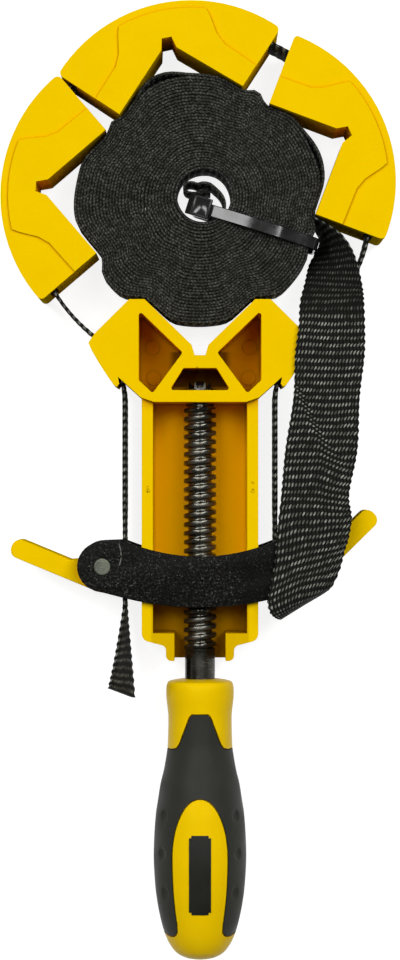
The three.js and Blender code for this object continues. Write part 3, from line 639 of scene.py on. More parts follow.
class CLAMP_OT_corners(bpy.types.Operator):
    """Three corner blocks and the two cam levers"""

    bl_idname = "clamp.corners"
    bl_label = "Corner blocks and levers"

    def execute(self, context):
        sizes = context.scene.clamp_moulding
        yellow = bpy.data.materials["yellow plastic"]
        for side in ("left", "top", "right"):
            node = "corner_" + side
            bm = dressed(
                node, sizes.edge * 0.6, 24.0, moves=BLOCK_TIPS.get(side, ()), sunk=BLOCK_RIM,
                cut=BLOCK_CUTS.get(side, ()),
            )
            piece(bm, side + " block", yellow, side + "_corner", [node], flat=True)
        for side in ("left", "right"):
            node = side + "_cam_lever"
            bm = dressed(node, sizes.edge * 1.4)
            piece(bm, side + " lever", yellow, side + "_lever", [node], flat=True)
        return {"FINISHED"}


# Spindle: where its thread starts above its lower end, the thread's profile over one turn as
# (share of the pitch, share of its depth), and the gaps and chamfers at its ends

THREAD_START = 51.0 * MM
THREAD_STEPS = 56
THREAD_PROFILE = [
    (0.0, 0.0), (0.24, 0.0), (0.3, 0.08), (0.36, 0.75), (0.4, 0.96), (0.46, 1.0),
    (0.78, 1.0), (0.84, 0.96), (0.88, 0.75), (0.94, 0.08),
]
WASHER_GAP = 0.3 * MM
CHAMFER = 1.1 * MM
TIP = 2.4 * MM

# Points of the star retainer: how many, how far out, their tilt, both radii, length and place

STAR_POINTS = 6
STAR_OUT = 3.4 * MM
STAR_TILT = math.radians(-72)
STAR_FOOT, STAR_END, STAR_LENGTH = 1.1 * MM, 0.25 * MM, 2.6 * MM
STAR_AHEAD = 1.0 * MM


class CLAMP_OT_spindle(bpy.types.Operator):
    """Threaded spindle, its washer and the star retainer"""

    bl_idname = "clamp.spindle"
    bl_label = "Spindle"

    def execute(self, context):
        sizes = context.scene.clamp_screw
        steel = turned_steel("blackened steel", sizes.steel, 0.22, 0.9, 0.35)
        turned_steel("rivet steel", sizes.rivet, 0.5, 0.2, 0.4)
        turned_steel("bright steel", sizes.bright, 0.35, 0.9, 0.3)
        low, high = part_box("spindle")
        start = low.y + THREAD_START
        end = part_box("thrust_washer")[0].y - WASHER_GAP
        bm = threaded(sizes, start, end)
        spun([
            (low.y, 0), (low.y, sizes.shank - CHAMFER), (low.y + CHAMFER, sizes.shank),
            (start, sizes.shank), (start + CHAMFER, sizes.root), (start + 2 * CHAMFER, sizes.root),
            (start + 2 * CHAMFER, 0),
        ], 64, bm=bm)
        spun([
            (end - CHAMFER, 0), (end - CHAMFER, TIP), (high.y - 1.6 * MM, TIP),
            (high.y - 0.5 * MM, 0.75 * TIP), (high.y, 0.4 * TIP), (high.y, 0),
        ], 48, bm=bm)
        piece(bm, "threaded spindle", steel, "screw", ["spindle"], sharp=40.0)
        bm = dressed("spindle_retainer", 0.12 * MM)
        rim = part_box("spindle_retainer")[1].y
        leaning = Matrix.Translation((0, 0, STAR_OUT)) @ Matrix.Rotation(STAR_TILT, 4, "X")
        for k in range(STAR_POINTS):
            turned = Matrix.Rotation(FULL_TURN * (k + 0.5) / STAR_POINTS, 4, "Y")
            bmesh.ops.create_cone(
                bm, cap_ends=True, segments=4, radius1=STAR_FOOT, radius2=STAR_END, depth=STAR_LENGTH,
                matrix=Matrix.Translation((0, rim + STAR_AHEAD, SPINDLE_Z)) @ turned @ leaning,
            )
        piece(bm, "star retainer", steel, "screw", ["spindle_retainer"])
        finish_node("thrust_washer", steel)
        return {"FINISHED"}


def threaded(sizes, low, high):
    """A right-hand thread along Y between two places, with flat ends."""
    bm = bmesh.new()
    rows = []
    for turn in range(-2, math.ceil((high - low) / sizes.pitch) + 2):
        for along, rise in THREAD_PROFILE:
            radius = sizes.root + rise * (sizes.crest - sizes.root)
            place = low + sizes.phase + (turn + along) * sizes.pitch
            rows.append(bm.verts.new((0, place, SPINDLE_Z + radius)))
    edges = [bm.edges.new(pair) for pair in zip(rows, rows[1:])]
    bmesh.ops.spin(
        bm, geom=rows + edges, cent=SPINDLE, axis=(0, 1, 0), dvec=(0, sizes.pitch / THREAD_STEPS, 0),
        angle=FULL_TURN, steps=THREAD_STEPS,
    )
    merge(bm, 2 * MERGED)
    for place, facing in ((low, -1), (high, 1)):
        bmesh.ops.bisect_plane(
            bm, geom=bm.verts[:] + bm.edges[:] + bm.faces[:], dist=0.5 * MERGED,
            plane_co=(0, place, 0), plane_no=(0, facing, 0), clear_outer=True,
        )
        rim = [e for e in bm.edges if e.is_boundary and abs(e.verts[0].co.y - place) < SAME_LEVEL / 2]
        bmesh.ops.holes_fill(bm, edges=rim, sides=0)
    return bm


# Handle: radii along its length, from the butt up to the face at the spindle

HANDLE_PROFILE = [
    (0, 0), (0, 0.2), (0.008, 0.37), (0.03, 0.565), (0.08, 0.745), (0.15, 0.87), (0.24, 0.965),
    (0.33, 1.006), (0.37, 1.012), (0.43, 1.002), (0.517, 0.965), (0.57, 0.916), (0.626, 0.862),
    (0.665, 0.803), (0.7, 0.761), (0.74, 0.722), (0.765, 0.706), (0.805, 0.698), (0.87, 0.694),
    (0.9, 0.712), (0.935, 0.736), (0.968, 0.736), (0.986, 0.708), (0.994, 0.62), (1, 0.41), (1, 0),
]
DIMPLE_PLACES = [(12.9, -120.4), (13.7, -134.3), (12.6, -148.8)]
DIMPLE_SPHERE = {"u_segments": 24, "v_segments": 16}
HANDLE_RADIUS = 16.6 * MM
HANDLE_LEAST = 0.3 * MM
HANDLE_STEPS = 112

# Soft grip seen from the front, from its tongue over the shoulder down to the end of a leg: x in
# millimetres, share of the handle's length from its top, and how far each grows with the outline

GRIP_ROWS = [
    (2.9, 0.121, 1, 1), (3.9, 0.132, 1, 1), (7.5, 0.229, 1, 1), (8.4, 0.242, 1, 1),
    (9.8, 0.247, 1, 1), (20, 0.247, 0, 1), (20, 0.899, 0, -1), (12.9, 0.899, 1, -1),
    (12.2, 0.906, 1, -1), (11.0, 0.911, 1, -1), (9.8, 0.912, -1, -1), (8.7, 0.905, -1, -1),
    (8.1, 0.892, -1, -0.5),
]

# The window between the legs: shares of its middle and top, its half width and its depth, from its
# middle to where its sides would meet

WINDOW_MIDDLE, WINDOW_TOP = 0.628, 0.417
WINDOW_HALF = 10.0 * MM
WINDOW_DEPTH = 42.1 * MM

# Depths of the grip and of the core's inner part, and other sizes of the handle

GRIP_DEPTH = 1.9 * MM
CORE_DEPTH = 1.6 * MM
PANEL_RISE = 0.25 * MM
PANEL_NOTCH = 0.9 * MM
GRIP_CORNER = 50
SOCKET_RADIUS, SOCKET_GAP, SOCKET_PAST = 5.6 * MM, 0.3 * MM, 1 * MM
AROUND_HANDLE = 30 * MM


def handle_form(inset):
    """The handle's whole form, set in by a depth."""
    low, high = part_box("handle_core")
    profile = [
        (low.y + along * (high.y - low.y), max(share * HANDLE_RADIUS - inset, HANDLE_LEAST))
        for along, share in smoothed(HANDLE_PROFILE[1:-1], 4)
    ]
    return spun([(profile[0][0], 0), *profile, (profile[-1][0], 0)], HANDLE_STEPS)


def smoothed(rows, per_span):
    """Catmull-Rom points through rows of numbers."""
    points = [Vector(row).to_3d() for row in rows]
    return [tuple(p[: len(rows[0])]) for p in curve(points, per_span)]


def curve(points, per_span):
    """Centripetal Catmull-Rom points through a list of vectors."""
    padded = [2 * points[0] - points[1], *points, 2 * points[-1] - points[-2]]
    made = []
    for a, b, c, d in zip(padded, padded[1:], padded[2:], padded[3:]):
        before, here, after = [max((q - p).length, 1e-9) ** 0.5 for p, q in ((a, b), (b, c), (c, d))]
        start = ((b - a) / before - (c - a) / (before + here) + (c - b) / here) * here
        end = ((c - b) / here - (d - b) / (here + after) + (d - c) / after) * here
        for i in range(per_span):
            t = i / per_span
            made.append(
                b * (2 * t**3 - 3 * t**2 + 1) + start * (t**3 - 2 * t**2 + t)
                + c * (3 * t**2 - 2 * t**3) + end * (t**3 - t**2)
            )
    return [*made, points[-1]]


def grip_plan(grow):
    """Outline of the soft grip seen from the front: tongue, shoulders, two legs and the window."""
    low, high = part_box("handle_core")
    level = lambda share: high.y - (high.y - low.y) * share
    middle = level(WINDOW_MIDDLE)
    half = WINDOW_HALF - grow
    rise = level(WINDOW_TOP) - middle - grow
    right = [(x * MM + out * grow, level(share) + up * grow) for x, share, out, up in GRIP_ROWS]
    right += [
        (half * math.sqrt(1 - (along * MM / WINDOW_DEPTH) ** 2), middle - along * MM)
        for along in range(24, 0, -4)
    ]
    right += [
        (half * math.cos(math.radians(a)), middle + rise * math.sin(math.radians(a)))
        for a in range(0, 90, 5)
    ]
    return right + [(-x, y) for x, y in reversed(right)]


def panel_plan(width, height, middle, notch):
    """Outline of the panel: a rectangle with notched corners."""
    x, y = width / 2, height / 2
    quarter = [(x, y - notch), (x - notch, y - notch), (x - notch, y)]
    right = [(a, -b) for a, b in reversed(quarter)] + quarter
    both = right + [(-a, b) for a, b in reversed(right)]
    return [(a, middle + b) for a, b in both]


class CLAMP_OT_handle(bpy.types.Operator):
    """Handle: hard yellow core, soft black grip and the bare panel"""

    bl_idname = "clamp.handle"
    bl_label = "Handle"

    def execute(self, context):
        sizes = context.scene.clamp_handle
        yellow = moulded_plastic(context.scene.clamp_moulding, "handle plastic", 0.2)
        black = soft_plastic("soft grip", sizes.grip, 0.55)
        low, high = SPINDLE_Z - AROUND_HANDLE, SPINDLE_Z + AROUND_HANDLE
        shell = carved(handle_form(0), handle_form(GRIP_DEPTH), "DIFFERENCE")
        grip = carved(shell, prism(grip_plan(-sizes.seam / 2), low, high), "INTERSECT")
        rounded(grip, bent(grip, GRIP_CORNER), sizes.grip_edge, 3)
        grip = carved(grip, dimples(sizes), "DIFFERENCE")
        piece(grip, "soft grip", black, "screw", ["handle_grip"], sharp=40.0)
        core = carved(handle_form(0), prism(grip_plan(sizes.seam / 2), low, high), "DIFFERENCE")
        core = joined(core, carved(handle_form(CORE_DEPTH), socket(), "DIFFERENCE"))
        piece(core, "hard core", yellow, "screw", ["handle_core"], sharp=40.0)
        plan = panel_plan(sizes.panel_width, sizes.panel_length, sizes.panel_middle, PANEL_NOTCH)
        panel = carved(handle_form(-PANEL_RISE), prism(plan, SPINDLE_Z, high), "INTERSECT")
        satin = soft_plastic("bare panel", [v * 0.6 for v in sizes.grip], 0.4)
        piece(panel, "bare panel", satin, "screw", sharp=40.0)
        return {"FINISHED"}


def dimples(sizes):
    """Balls that press the finger dimples into the grip's flanks, front and back."""
    low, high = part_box("handle_core")
    balls = bmesh.new()
    for x, y in DIMPLE_PLACES:
        share = (y * MM - low.y) / (high.y - low.y)
        rows = [row for row in HANDLE_PROFILE if row[0] > 0]
        before, after = next(pair for pair in zip(rows, rows[1:]) if pair[1][0] >= share)
        part = (share - before[0]) / (after[0] - before[0])
        radius = (before[1] + (after[1] - before[1]) * part) * HANDLE_RADIUS
        turn = math.asin(x * MM / radius)
        away = radius + sizes.dimple_ball - sizes.dimple
        for side, face in itertools.product((-1, 1), (-1, 1)):
            place = (side * away * math.sin(turn), y * MM, SPINDLE_Z + face * away * math.cos(turn))
            ball = Matrix.Translation(place)
            bmesh.ops.create_uvsphere(balls, radius=sizes.dimple_ball, matrix=ball, **DIMPLE_SPHERE)
    return balls


def socket():
    """The spindle's place in the handle."""
    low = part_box("spindle")[0].y - SOCKET_GAP
    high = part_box("handle_core")[1].y + SOCKET_PAST
    return spun([(low, 0), (low, SOCKET_RADIUS), (high, SOCKET_RADIUS), (high, 0)], 64)


# Yoke: radii of a rivet's shank and head, how far its head is domed, and the head's outline as
# (share of the dome, share of the radius)

RIVET_SHANK = 2.4 * MM
RIVET_HEAD = 2.95 * MM
RIVET_DOME = 0.5 * MM
RIVET_PROFILE = [(0, 1), (0.5, 1), (0.85, 0.95), (1, 0.84), (0.92, 0.76), (0.92, 0.3)]


class CLAMP_OT_yoke(bpy.types.Operator):
    """Yoke plates with their rivets, nut and anvils"""

    bl_idname = "clamp.yoke"
    bl_label = "Yoke"

    def execute(self, context):
        sizes = context.scene.clamp_moulding
        paint = painted_steel(sizes)
        bright = bpy.data.materials["bright steel"]
        grey = bpy.data.materials["rivet steel"]
        for side in ("front", "back"):
            node = "yoke_%s_plate" % side
            bm = dressed(node, sizes.plate_edge, segments=3)
            piece(bm, side + " plate", paint, "yoke", [node])
        for side in ("left", "right"):
            node = side + "_pivot_rivet"
            low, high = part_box(node)
            arch = [(rise * RIVET_DOME, radius * RIVET_HEAD) for rise, radius in RIVET_PROFILE]
            foot, top = low.z + RIVET_DOME, high.z - RIVET_DOME
            profile = [
                (low.z, 0), *[(foot - rise, radius) for rise, radius in reversed(arch)],
                (foot, RIVET_SHANK), (top, RIVET_SHANK), *[(top + rise, radius) for rise, radius in arch],
                (high.z, 0),
            ]
            bm = spun(profile, 48, Vector((midpoint(node).x, PIN.y, 0)), UP, Vector((1, 0, 0)))
            piece(bm, side + " rivet", grey, "yoke", [node], sharp=50.0)
            finish_node(side + "_anvil", paint)
        finish_node("traveller_nut", bright)
        return {"FINISHED"}


# Webbing: its ends' mark on the UV map, at the middle of the section's far edge, in millimetres

FAR_EDGE = 25.5
EDGE_ROUND = 0.3 * MM


def section(half_width, half_thickness, columns):
    """Section of the webbing: (across, out, millimetres round it), from the edge at minus X."""
    flat = half_width - min(EDGE_ROUND, half_width / 4)
    steps = [-flat + 2 * flat * i / columns for i in range(columns + 1)]
    width = 2 * half_width / MM
    blunt = 0.4 * half_thickness
    return [
        *[(a, half_thickness, (a + half_width) / MM) for a in steps],
        (half_width, blunt, width + 0.3),
        (half_width, -blunt, width + 0.7),
        *[(a, -half_thickness, width + 1 + (half_width - a) / MM) for a in reversed(steps)],
        (-half_width, -blunt, 2 * width + 1.3),
        (-half_width, blunt, 2 * width + 1.7),
    ]


def measured(path, unit=1.0):
    """Length of a path up to each of its points."""
    lengths = [0.0]
    for before, here in zip(path, path[1:]):
        lengths.append(lengths[-1] + (here - before).length / unit)
    return lengths


def webbing(bm, stations, columns):
    """Adds a closed length of webbing through stations.

    A station is (centre, across, out, half width, half thickness).
    """
    layer = bm.loops.layers.uv.get("webbing") or bm.loops.layers.uv.new("webbing")
    rings = []
    lengths = measured([station[0] for station in stations], MM)
    for centre, across, out, half_width, half_thickness in stations:
        points = section(half_width, half_thickness, columns)
        rings.append([bm.verts.new(centre + across * a + out * o) for a, o, _ in points])
    marks = [mark for _, _, mark in section(WEB_WIDTH / 2, stations[0][4], columns)]
    marks.append(2 * (marks[-1] - marks[-2]) + marks[-2])
    for i, (ring, following) in enumerate(zip(rings, rings[1:])):
        for k in range(len(ring)):
            n = (k + 1) % len(ring)
            face = bm.faces.new((ring[k], following[k], following[n], ring[n]))
            for loop, place in zip(face.loops, ((i, k), (i + 1, k), (i + 1, k + 1), (i, k + 1))):
                loop[layer].uv = (lengths[place[0]], marks[place[1]])
    for ring, run in ((rings[0], lengths[0]), (rings[-1], lengths[-1])):
        face = bm.faces.new(ring)
        for loop in face.loops:
            loop[layer].uv = (run, FAR_EDGE)


def on_edge(path, low, high, half_thickness):
    """Stations of webbing that stands on its edge along a path in plan."""
    stations = []
    half_width = (high - low) / 2
    middle = (high + low) / 2
    for i, point in enumerate(path):
        ahead = path[min(i + 1, len(path) - 1)]
        behind = path[max(i - 1, 0)]
        along = (ahead - behind).normalized()
        out = Vector((along.y, -along.x, 0))
        centre = Vector((point.x, point.y, middle))
        stations.append((centre, UP, out, half_width, half_thickness))
    return stations


def arc(centre, radius, start, end, steps):
    """Points along an arc in plan, in degrees."""
    turns = [math.radians(start + (end - start) * i / steps) for i in range(steps + 1)]
    return [Vector((centre.x + radius * math.cos(t), centre.y + radius * math.sin(t), 0)) for t in turns]


def resampled(path, spacing):
    """The same path with points at an even spacing."""
    lengths = measured(path)
    count = max(round(lengths[-1] / spacing), 2)
    made = []
    k = 0
    for i in range(count + 1):
        at = lengths[-1] * i / count
        while k + 2 < len(lengths) and lengths[k + 1] < at:
            k += 1
        share = (at - lengths[k]) / max(lengths[k + 1] - lengths[k], 1e-9)
        made.append(path[k].lerp(path[k + 1], min(share, 1.0)))
    return made


# Route of the band, from its middle: radius on the ring and radius of the bends in the wings, and
# how far its runs stand in from their boxes' outer side

BAND_RADIUS = 61.8 * MM
WING_RADIUS = 31.3 * MM
RUN_INSET = 0.5 * MM
BAND_STEP = 0.65 * MM
WING_STEPS, RING_STEPS = 24, 160


def route():
    """The webbing's route in plan: left run, wing, ring, wing and right run."""
    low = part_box("band_right_run")[0]
    x = low.x + RUN_INSET
    reach = BAND_RADIUS + WING_RADIUS
    bend = Vector((x + WING_RADIUS, RING.y - math.sqrt(reach**2 - (x + WING_RADIUS) ** 2), 0))
    turn = math.degrees(math.atan2(RING.y - bend.y, bend.x))
    wing = arc(Vector((-bend.x, bend.y, 0)), WING_RADIUS, turn, 0, WING_STEPS)
    left = [Vector((-x, low.y, 0)), *reversed(wing)]
    right = [Vector((-p.x, p.y, 0)) for p in left]
    ring = arc(RING, BAND_RADIUS, 180 + turn, -turn, RING_STEPS)
    return [*left, *ring[1:-1], *reversed(right)], x


# Where the runs hang free, between the anvils and the head: its ends with the way over which the
# webbing swells there; and how much it swells, with the ribs' wave

FREE_LOW, FREE_HIGH = (-16 * MM, 6 * MM), (34 * MM, 5 * MM)
SWELL, SWELL_FREE = 1.24, 0.25
WAVE, WAVE_FREE = 0.14, -0.06


class CLAMP_OT_band(bpy.types.Operator):
    """Webbing on its edge: both runs, the ring round the work and the cut tail"""

    bl_idname = "clamp.band"
    bl_label = "Band"

    def execute(self, context):
        sizes = context.scene.clamp_webbing
        material = woven(sizes, "woven webbing", sizes.rib / MM, 0.8)
        low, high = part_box("band_ring")
        path, x = route()
        path = resampled(path, BAND_STEP)
        stations = []
        for i, station in enumerate(on_edge(path, low.z, high.z, sizes.thickness / 2)):
            y = station[0].y
            rising = (y - FREE_LOW[0]) / FREE_LOW[1]
            falling = (FREE_HIGH[0] - y) / FREE_HIGH[1]
            free = min(max(rising, 0), 1, max(falling, 0))
            wave = math.cos(FULL_TURN * i * BAND_STEP / sizes.rib)
            swell = SWELL + SWELL_FREE * free + (WAVE + WAVE_FREE * free) * wave
            stations.append((*station[:4], station[4] * swell))
        bm = bmesh.new()
        webbing(bm, stations, BAND_COLUMNS)
        webbing(bm, tail_stations(sizes, x), TAIL_COLUMNS)
        nodes = ["band_ring", "band_left_run", "band_right_run", "band_tail"]
        piece(bm, "band", material, "frame", nodes, sharp=60.0)
        return {"FINISHED"}


# Cut tail: length, twist over it, how far it swings out, stations and half width

TAIL_LENGTH = 31.6 * MM
TAIL_TWIST = math.radians(19.4)
TAIL_SWING = 1.3 * MM
TAIL_COUNT = 80
TAIL_HALF = 12.5 * MM
TAIL_SCALLOP = 0.2 * MM


def tail_stations(sizes, x):
    """Cut tail below the yoke, which twists a little as it hangs free; its end is cut aslant."""
    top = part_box("band_tail")[1].y
    stations = []
    for i in range(TAIL_COUNT + 1):
        share = i / TAIL_COUNT
        twist = TAIL_TWIST * share**1.15
        slant = 0.2 * share**4
        across = Vector((-math.sin(twist), slant, math.cos(twist)))
        out = Vector((-math.cos(twist), 0, -math.sin(twist)))
        centre = Vector((-x - TAIL_SWING * share, top - TAIL_LENGTH * share, SPINDLE_Z))
        wave = math.cos(FULL_TURN * share * TAIL_LENGTH / sizes.rib)
        half_thickness = sizes.thickness / 2 * (1.25 + 0.3 * wave)
        stations.append((centre, across, out, TAIL_HALF + TAIL_SCALLOP * wave, half_thickness))
    return stations


# Free end of the webbing: x, y, z of its left edge and of its right edge, in millimetres; how deep
# its edges are scalloped; points between two rows; and columns of faces across each webbing

FREE_EDGES = [
    (28.3, -48.34, 28.32, 34.48, -45.19, 5.49),
    (28.92, -49.53, 29.74, 39.9, -43.4, 12.74),
    (27.19, -49.26, 33.28, 44.3, -40.6, 24.07),
    (25.03, -47.29, 35.4, 47.7, -36.9, 33.6),
    (24.1, -43.48, 35.4, 50.0, -31.6, 35.2),
    (25.34, -36.91, 35.4, 51.6, -25.4, 35.05),
    (26.7, -29.42, 35.4, 53.0, -20.9, 35.4),
    (27.32, -19.83, 35.4, 54.08, -13.26, 35.4),
    (28.8, -7.09, 35.4, 53.15, -6.03, 35.4),
    (30.41, 10.65, 35.4, 56.11, 10.65, 35.4),
    (33.37, 29.97, 35.4, 56.98, 29.97, 35.4),
    (33.93, 44.95, 35.4, 58.71, 44.95, 35.4),
    (35.23, 55.07, 35.4, 58.77, 55.07, 35.4),
    (35.7, 62.95, 32.92, 58.46, 63.61, 34.87),
    (37.8, 70.84, 23.36, 57.97, 68.86, 34.52),
    (39.9, 78.32, 13.45, 55.93, 78.06, 33.63),
    (42.5, 83.05, 8.5, 53.64, 83.58, 32.39),
    (44.0, 87.26, 5.84, 49.13, 89.23, 30.44),
]
SCALLOP = 0.25 * MM
SPAN_STEPS = 14
STRAP_COLUMNS, BAND_COLUMNS, TAIL_COLUMNS, ROLL_COLUMNS = 24, 2, 10, 1


class CLAMP_OT_free_strap(bpy.types.Operator):
    """Free end of the webbing: the fold at the yoke and the strap up to the roll"""

    bl_idname = "clamp.free_strap"
    bl_label = "Free strap"

    def execute(self, context):
        sizes = context.scene.clamp_webbing
        low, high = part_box("band_right_run")
        end = roll_path(sizes)[1][-1]
        edges = []
        for side, first, last in ((slice(0, 3), high.z, low.z), (slice(3, 6), low.z, high.z)):
            rows = [Vector([v * MM for v in row[side]]) for row in FREE_EDGES]
            start = Vector((low.x + RUN_INSET, low.y, first))
            edges.append(curve([start, *rows, Vector((end.x, end.y, last))], SPAN_STEPS))
        bm = bmesh.new()
        stations = between(*edges, sizes)
        webbing(bm, stations, STRAP_COLUMNS)
        kink(bm, stations)
        material = bpy.data.materials["woven webbing"]
        nodes = ["band_fold", "band_free_strap"]
        piece(bm, "free strap", material, "frame", nodes, sharp=60.0)
        return {"FINISHED"}


def between(left, right, sizes):
    """Stations of webbing between two edge curves, with scalloped edges."""
    stations = []
    runs = measured([(a + b) / 2 for a, b in zip(left, right)])
    for i, (a, b, run) in enumerate(zip(left, right, runs)):
        low, high = max(i - 1, 0), min(i + 1, len(left) - 1)
        along = left[high] + right[high] - left[low] - right[low]
        across = b - a
        out = along.cross(across).normalized()
        half_width = across.length / 2 + SCALLOP * math.cos(FULL_TURN * run / sizes.rib)
        stations.append(((a + b) / 2, across.normalized(), out, half_width, sizes.thickness / 2))
    return stations


# The crease across the strap: where it starts at the left edge; then, in millimetres along and
# across the strap: how far its middle moves over in each millimetre down and until where, how wide
# it is at first and at most, from where and how fast it widens, and how far it shifts the rows

CREASE_TOP = 34.0 * MM
CREASE = {
    "slope": 0.61, "reach": 30.0, "narrow": 3.0, "wide": 24.0, "even": 20, "spread": 0.9, "shift": 3.6,
}


def kink(bm, stations):
    """Moves the rows of yarns up on the left of the crease, which runs down from the left edge."""
    layer = bm.loops.layers.uv["webbing"]
    lengths = measured([station[0] for station in stations], MM)
    start = next(u for u, row in zip(lengths, stations) if row[0].y > CREASE_TOP)
    for face in bm.faces:
        for loop in face.loops:
            u, v = loop[layer].uv
            down = start - u
            from_left = min(v, FAR_EDGE - 0.5) if v < FAR_EDGE else max(2 * FAR_EDGE - v, 0)
            middle = CREASE["slope"] * min(down, CREASE["reach"])
            wider = max(down - CREASE["even"], 0) * CREASE["spread"]
            spread = min(CREASE["narrow"] + wider, CREASE["wide"])
            lift = 1 - ease((from_left - middle) / spread + 0.5)
            loop[layer].uv = (u - CREASE["shift"] * lift, v)


# Roll: its outermost turns lie flat against the V faces and are drawn in by the tie

ROLL_RADIUS = 44.6 * MM
HOLE_RADIUS = 9.1 * MM
HOLE_OFFSET = Vector((1.3, 1.4, 0)) * MM
ROLL_EXIT = -8.5
ROLL_STEP = 3.0
WALL_GAP = 0.75 * MM

# The tie's dent: direction and half width in degrees, and depth

TIE_DENT = (-20.7, 5, 2.1 * MM)

# How steeply a turn comes back out beside a dent, and over how many degrees

DENT_SLOPE = 7
DENT_REACH = 24

# Heights in millimetres at which the walls are felt, and places over a block's slide

WALL_HEIGHTS = (6, 17, 28)
WALL_PLACES = 5

# Where the roll is fuller: direction and spread in degrees, and rise in millimetres

FULLER = [(102, 14, 1.2), (186, 12, 1.0)]

# Where the last turn stands loose: direction and spread in degrees, and rise in millimetres

LOOSE = [(20.5, 16, 1.3), (109, 15, 1.9)]

# Half thickness of the rolled webbing: its share of the distance between two turns, and its most,
# and its share of the webbing's thickness in the hole

OVERLAP = 0.505
THICKEST = 0.56 * MM
HOOK_SHARE = 0.46

# How far the turns wander, and the degrees over which they do; and how far a whole turn and a spot
# of it stand up or down, in millimetres, with the pace at which they change

WANDER = 0.35 * MM
WANDER_REACH = 1800
TURN_LIFT, TURN_PACE, TURN_ROW = 0.3, 1.7, 3.1
SPOT_LIFT, SPOT_PACE = 0.35, 90

# How far in the first turn lies, and the degrees where it starts to come out and over which it does

CURL_DEPTH = 4.4 * MM
CURL_START, CURL_REACH = 70, 105

# The inner end of the webbing, which is folded back in the hole: x and y in millimetres, points
# between two of them, their spacing in the end and how far its tip is sunk

HOOK = [
    (3.8, 3.3), (1.8, 3.4), (-0.6, 3.1), (-3.0, 2.9), (-5.0, 3.5), (-5.7, 5.0), (-4.6, 6.3), (-2.6, 6.4),
]
HOOK_SPAN = 8
HOOK_STEP = 0.8 * MM
HOOK_SUNK = 3 * MM


def wall_distances():
    """Distance from the ring's middle to the nearest V face, by the degree, wherever the blocks slide."""
    ranges = {j["child"]: j["range_deg"] for j in frame["joints"] if "corner_slide" in j["name"]}
    walls = {"moulded_body": (0, 0)}
    walls.update({body.split("_")[0] + "_block": limits for body, limits in ranges.items()})
    nearest = [1.0] * 360
    for name, (low, high) in walls.items():
        bm = bmesh.new()
        bm.from_mesh(bpy.data.objects[name].data)
        tree = BVHTree.FromBMesh(bm)
        bm.free()
        for degree, part in itertools.product(range(360), range(WALL_PLACES)):
            turn = math.radians(degree - low - (high - low) * part / (WALL_PLACES - 1))
            ray = Vector((math.cos(turn), math.sin(turn), 0))
            starts = [Vector((RING.x, RING.y, z * MM)) for z in WALL_HEIGHTS]
            hits = [tree.ray_cast(start, ray)[3] for start in starts]
            nearest[degree] = min([nearest[degree], *[hit for hit in hits if hit is not None]])
    return nearest


def hill(degree, middle, spread):
    """1 at a direction and toward 0 away from it, by a spread in degrees."""
    away = abs((degree - middle + 180) % 360 - 180)
    return math.exp(-((away / spread) ** 2))


def ease(share):
    """A share kept within 0 and 1, with a soft start and end."""
    share = min(max(share, 0), 1)
    return share * share * (3 - 2 * share)


def roll_outline():
    """Radius of the outermost turn by the degree."""
    dent, spread, depth = TIE_DENT
    held = []
    for degree, wall in enumerate(wall_distances()):
        radius = ROLL_RADIUS - depth * hill(degree, dent, spread)
        for middle, spread_there, rise in FULLER:
            radius += rise * MM * hill(degree, middle, spread_there)
        held.append(min(radius, wall - WALL_GAP))
    held = [
        min(
            held[(degree + k) % 360] * (1 + DENT_SLOPE * math.radians(k) ** 2)
            for k in range(-DENT_REACH, DENT_REACH + 1)
        )
        for degree in range(360)
    ]
    for _ in range(2):
        even = [sum(held[(degree + k) % 360] for k in range(-2, 3)) / 5 for degree in range(360)]
        held = [min(pair) for pair in zip(held, even)]
    return held


def roll_path(sizes):
    """Centre line of the winding, outward and clockwise: folded end, loose first turn, loose last turn."""
    outline = roll_outline()
    steps = round(sizes.turns * 360 / ROLL_STEP)
    path = []
    for i in range(steps + 1):
        behind = (steps - i) * ROLL_STEP
        degrees = ROLL_EXIT + behind
        share = i / steps
        low = math.floor(degrees)
        outer = outline[low % 360] + (outline[(low + 1) % 360] - outline[low % 360]) * (degrees - low)
        radius = HOLE_RADIUS + (ROLL_RADIUS - HOLE_RADIUS) * share - (ROLL_RADIUS - outer) * share**1.5
        for middle, spread, rise in LOOSE:
            radius += rise * MM * max(1 - ((behind + ROLL_EXIT - middle) / spread) ** 2, 0) ** 2
        radius -= CURL_DEPTH * (1 - ease((i * ROLL_STEP - CURL_START) / CURL_REACH))
        turn = math.radians(degrees)
        around = Vector((math.cos(turn), math.sin(turn), 0))
        wander = noise.noise(Vector((around.x, around.y, i * ROLL_STEP / WANDER_REACH))) * WANDER
        radius += wander * min(1, behind / 360) * min(1, i * ROLL_STEP / 360)
        path.append(RING + HOLE_OFFSET * (1 - share) ** 2 + around * radius)
    hook = [RING + Vector((x, y, 0)) * MM for x, y in HOOK]
    return resampled(curve([*hook, path[0]], HOOK_SPAN), HOOK_STEP)[:-1], path


def touching(path, k):
    """Half thickness with which the winding just touches the turns beside it; None in the hole."""
    loop = round(360 / ROLL_STEP)
    pairs = [(a, b) for a, b in ((k, k - loop), (k + loop, k)) if b >= 0 and a < len(path)]
    gaps = [(path[a] - path[b]).length for a, b in pairs]
    return min(OVERLAP * sum(gaps) / len(gaps), THICKEST) if gaps else None


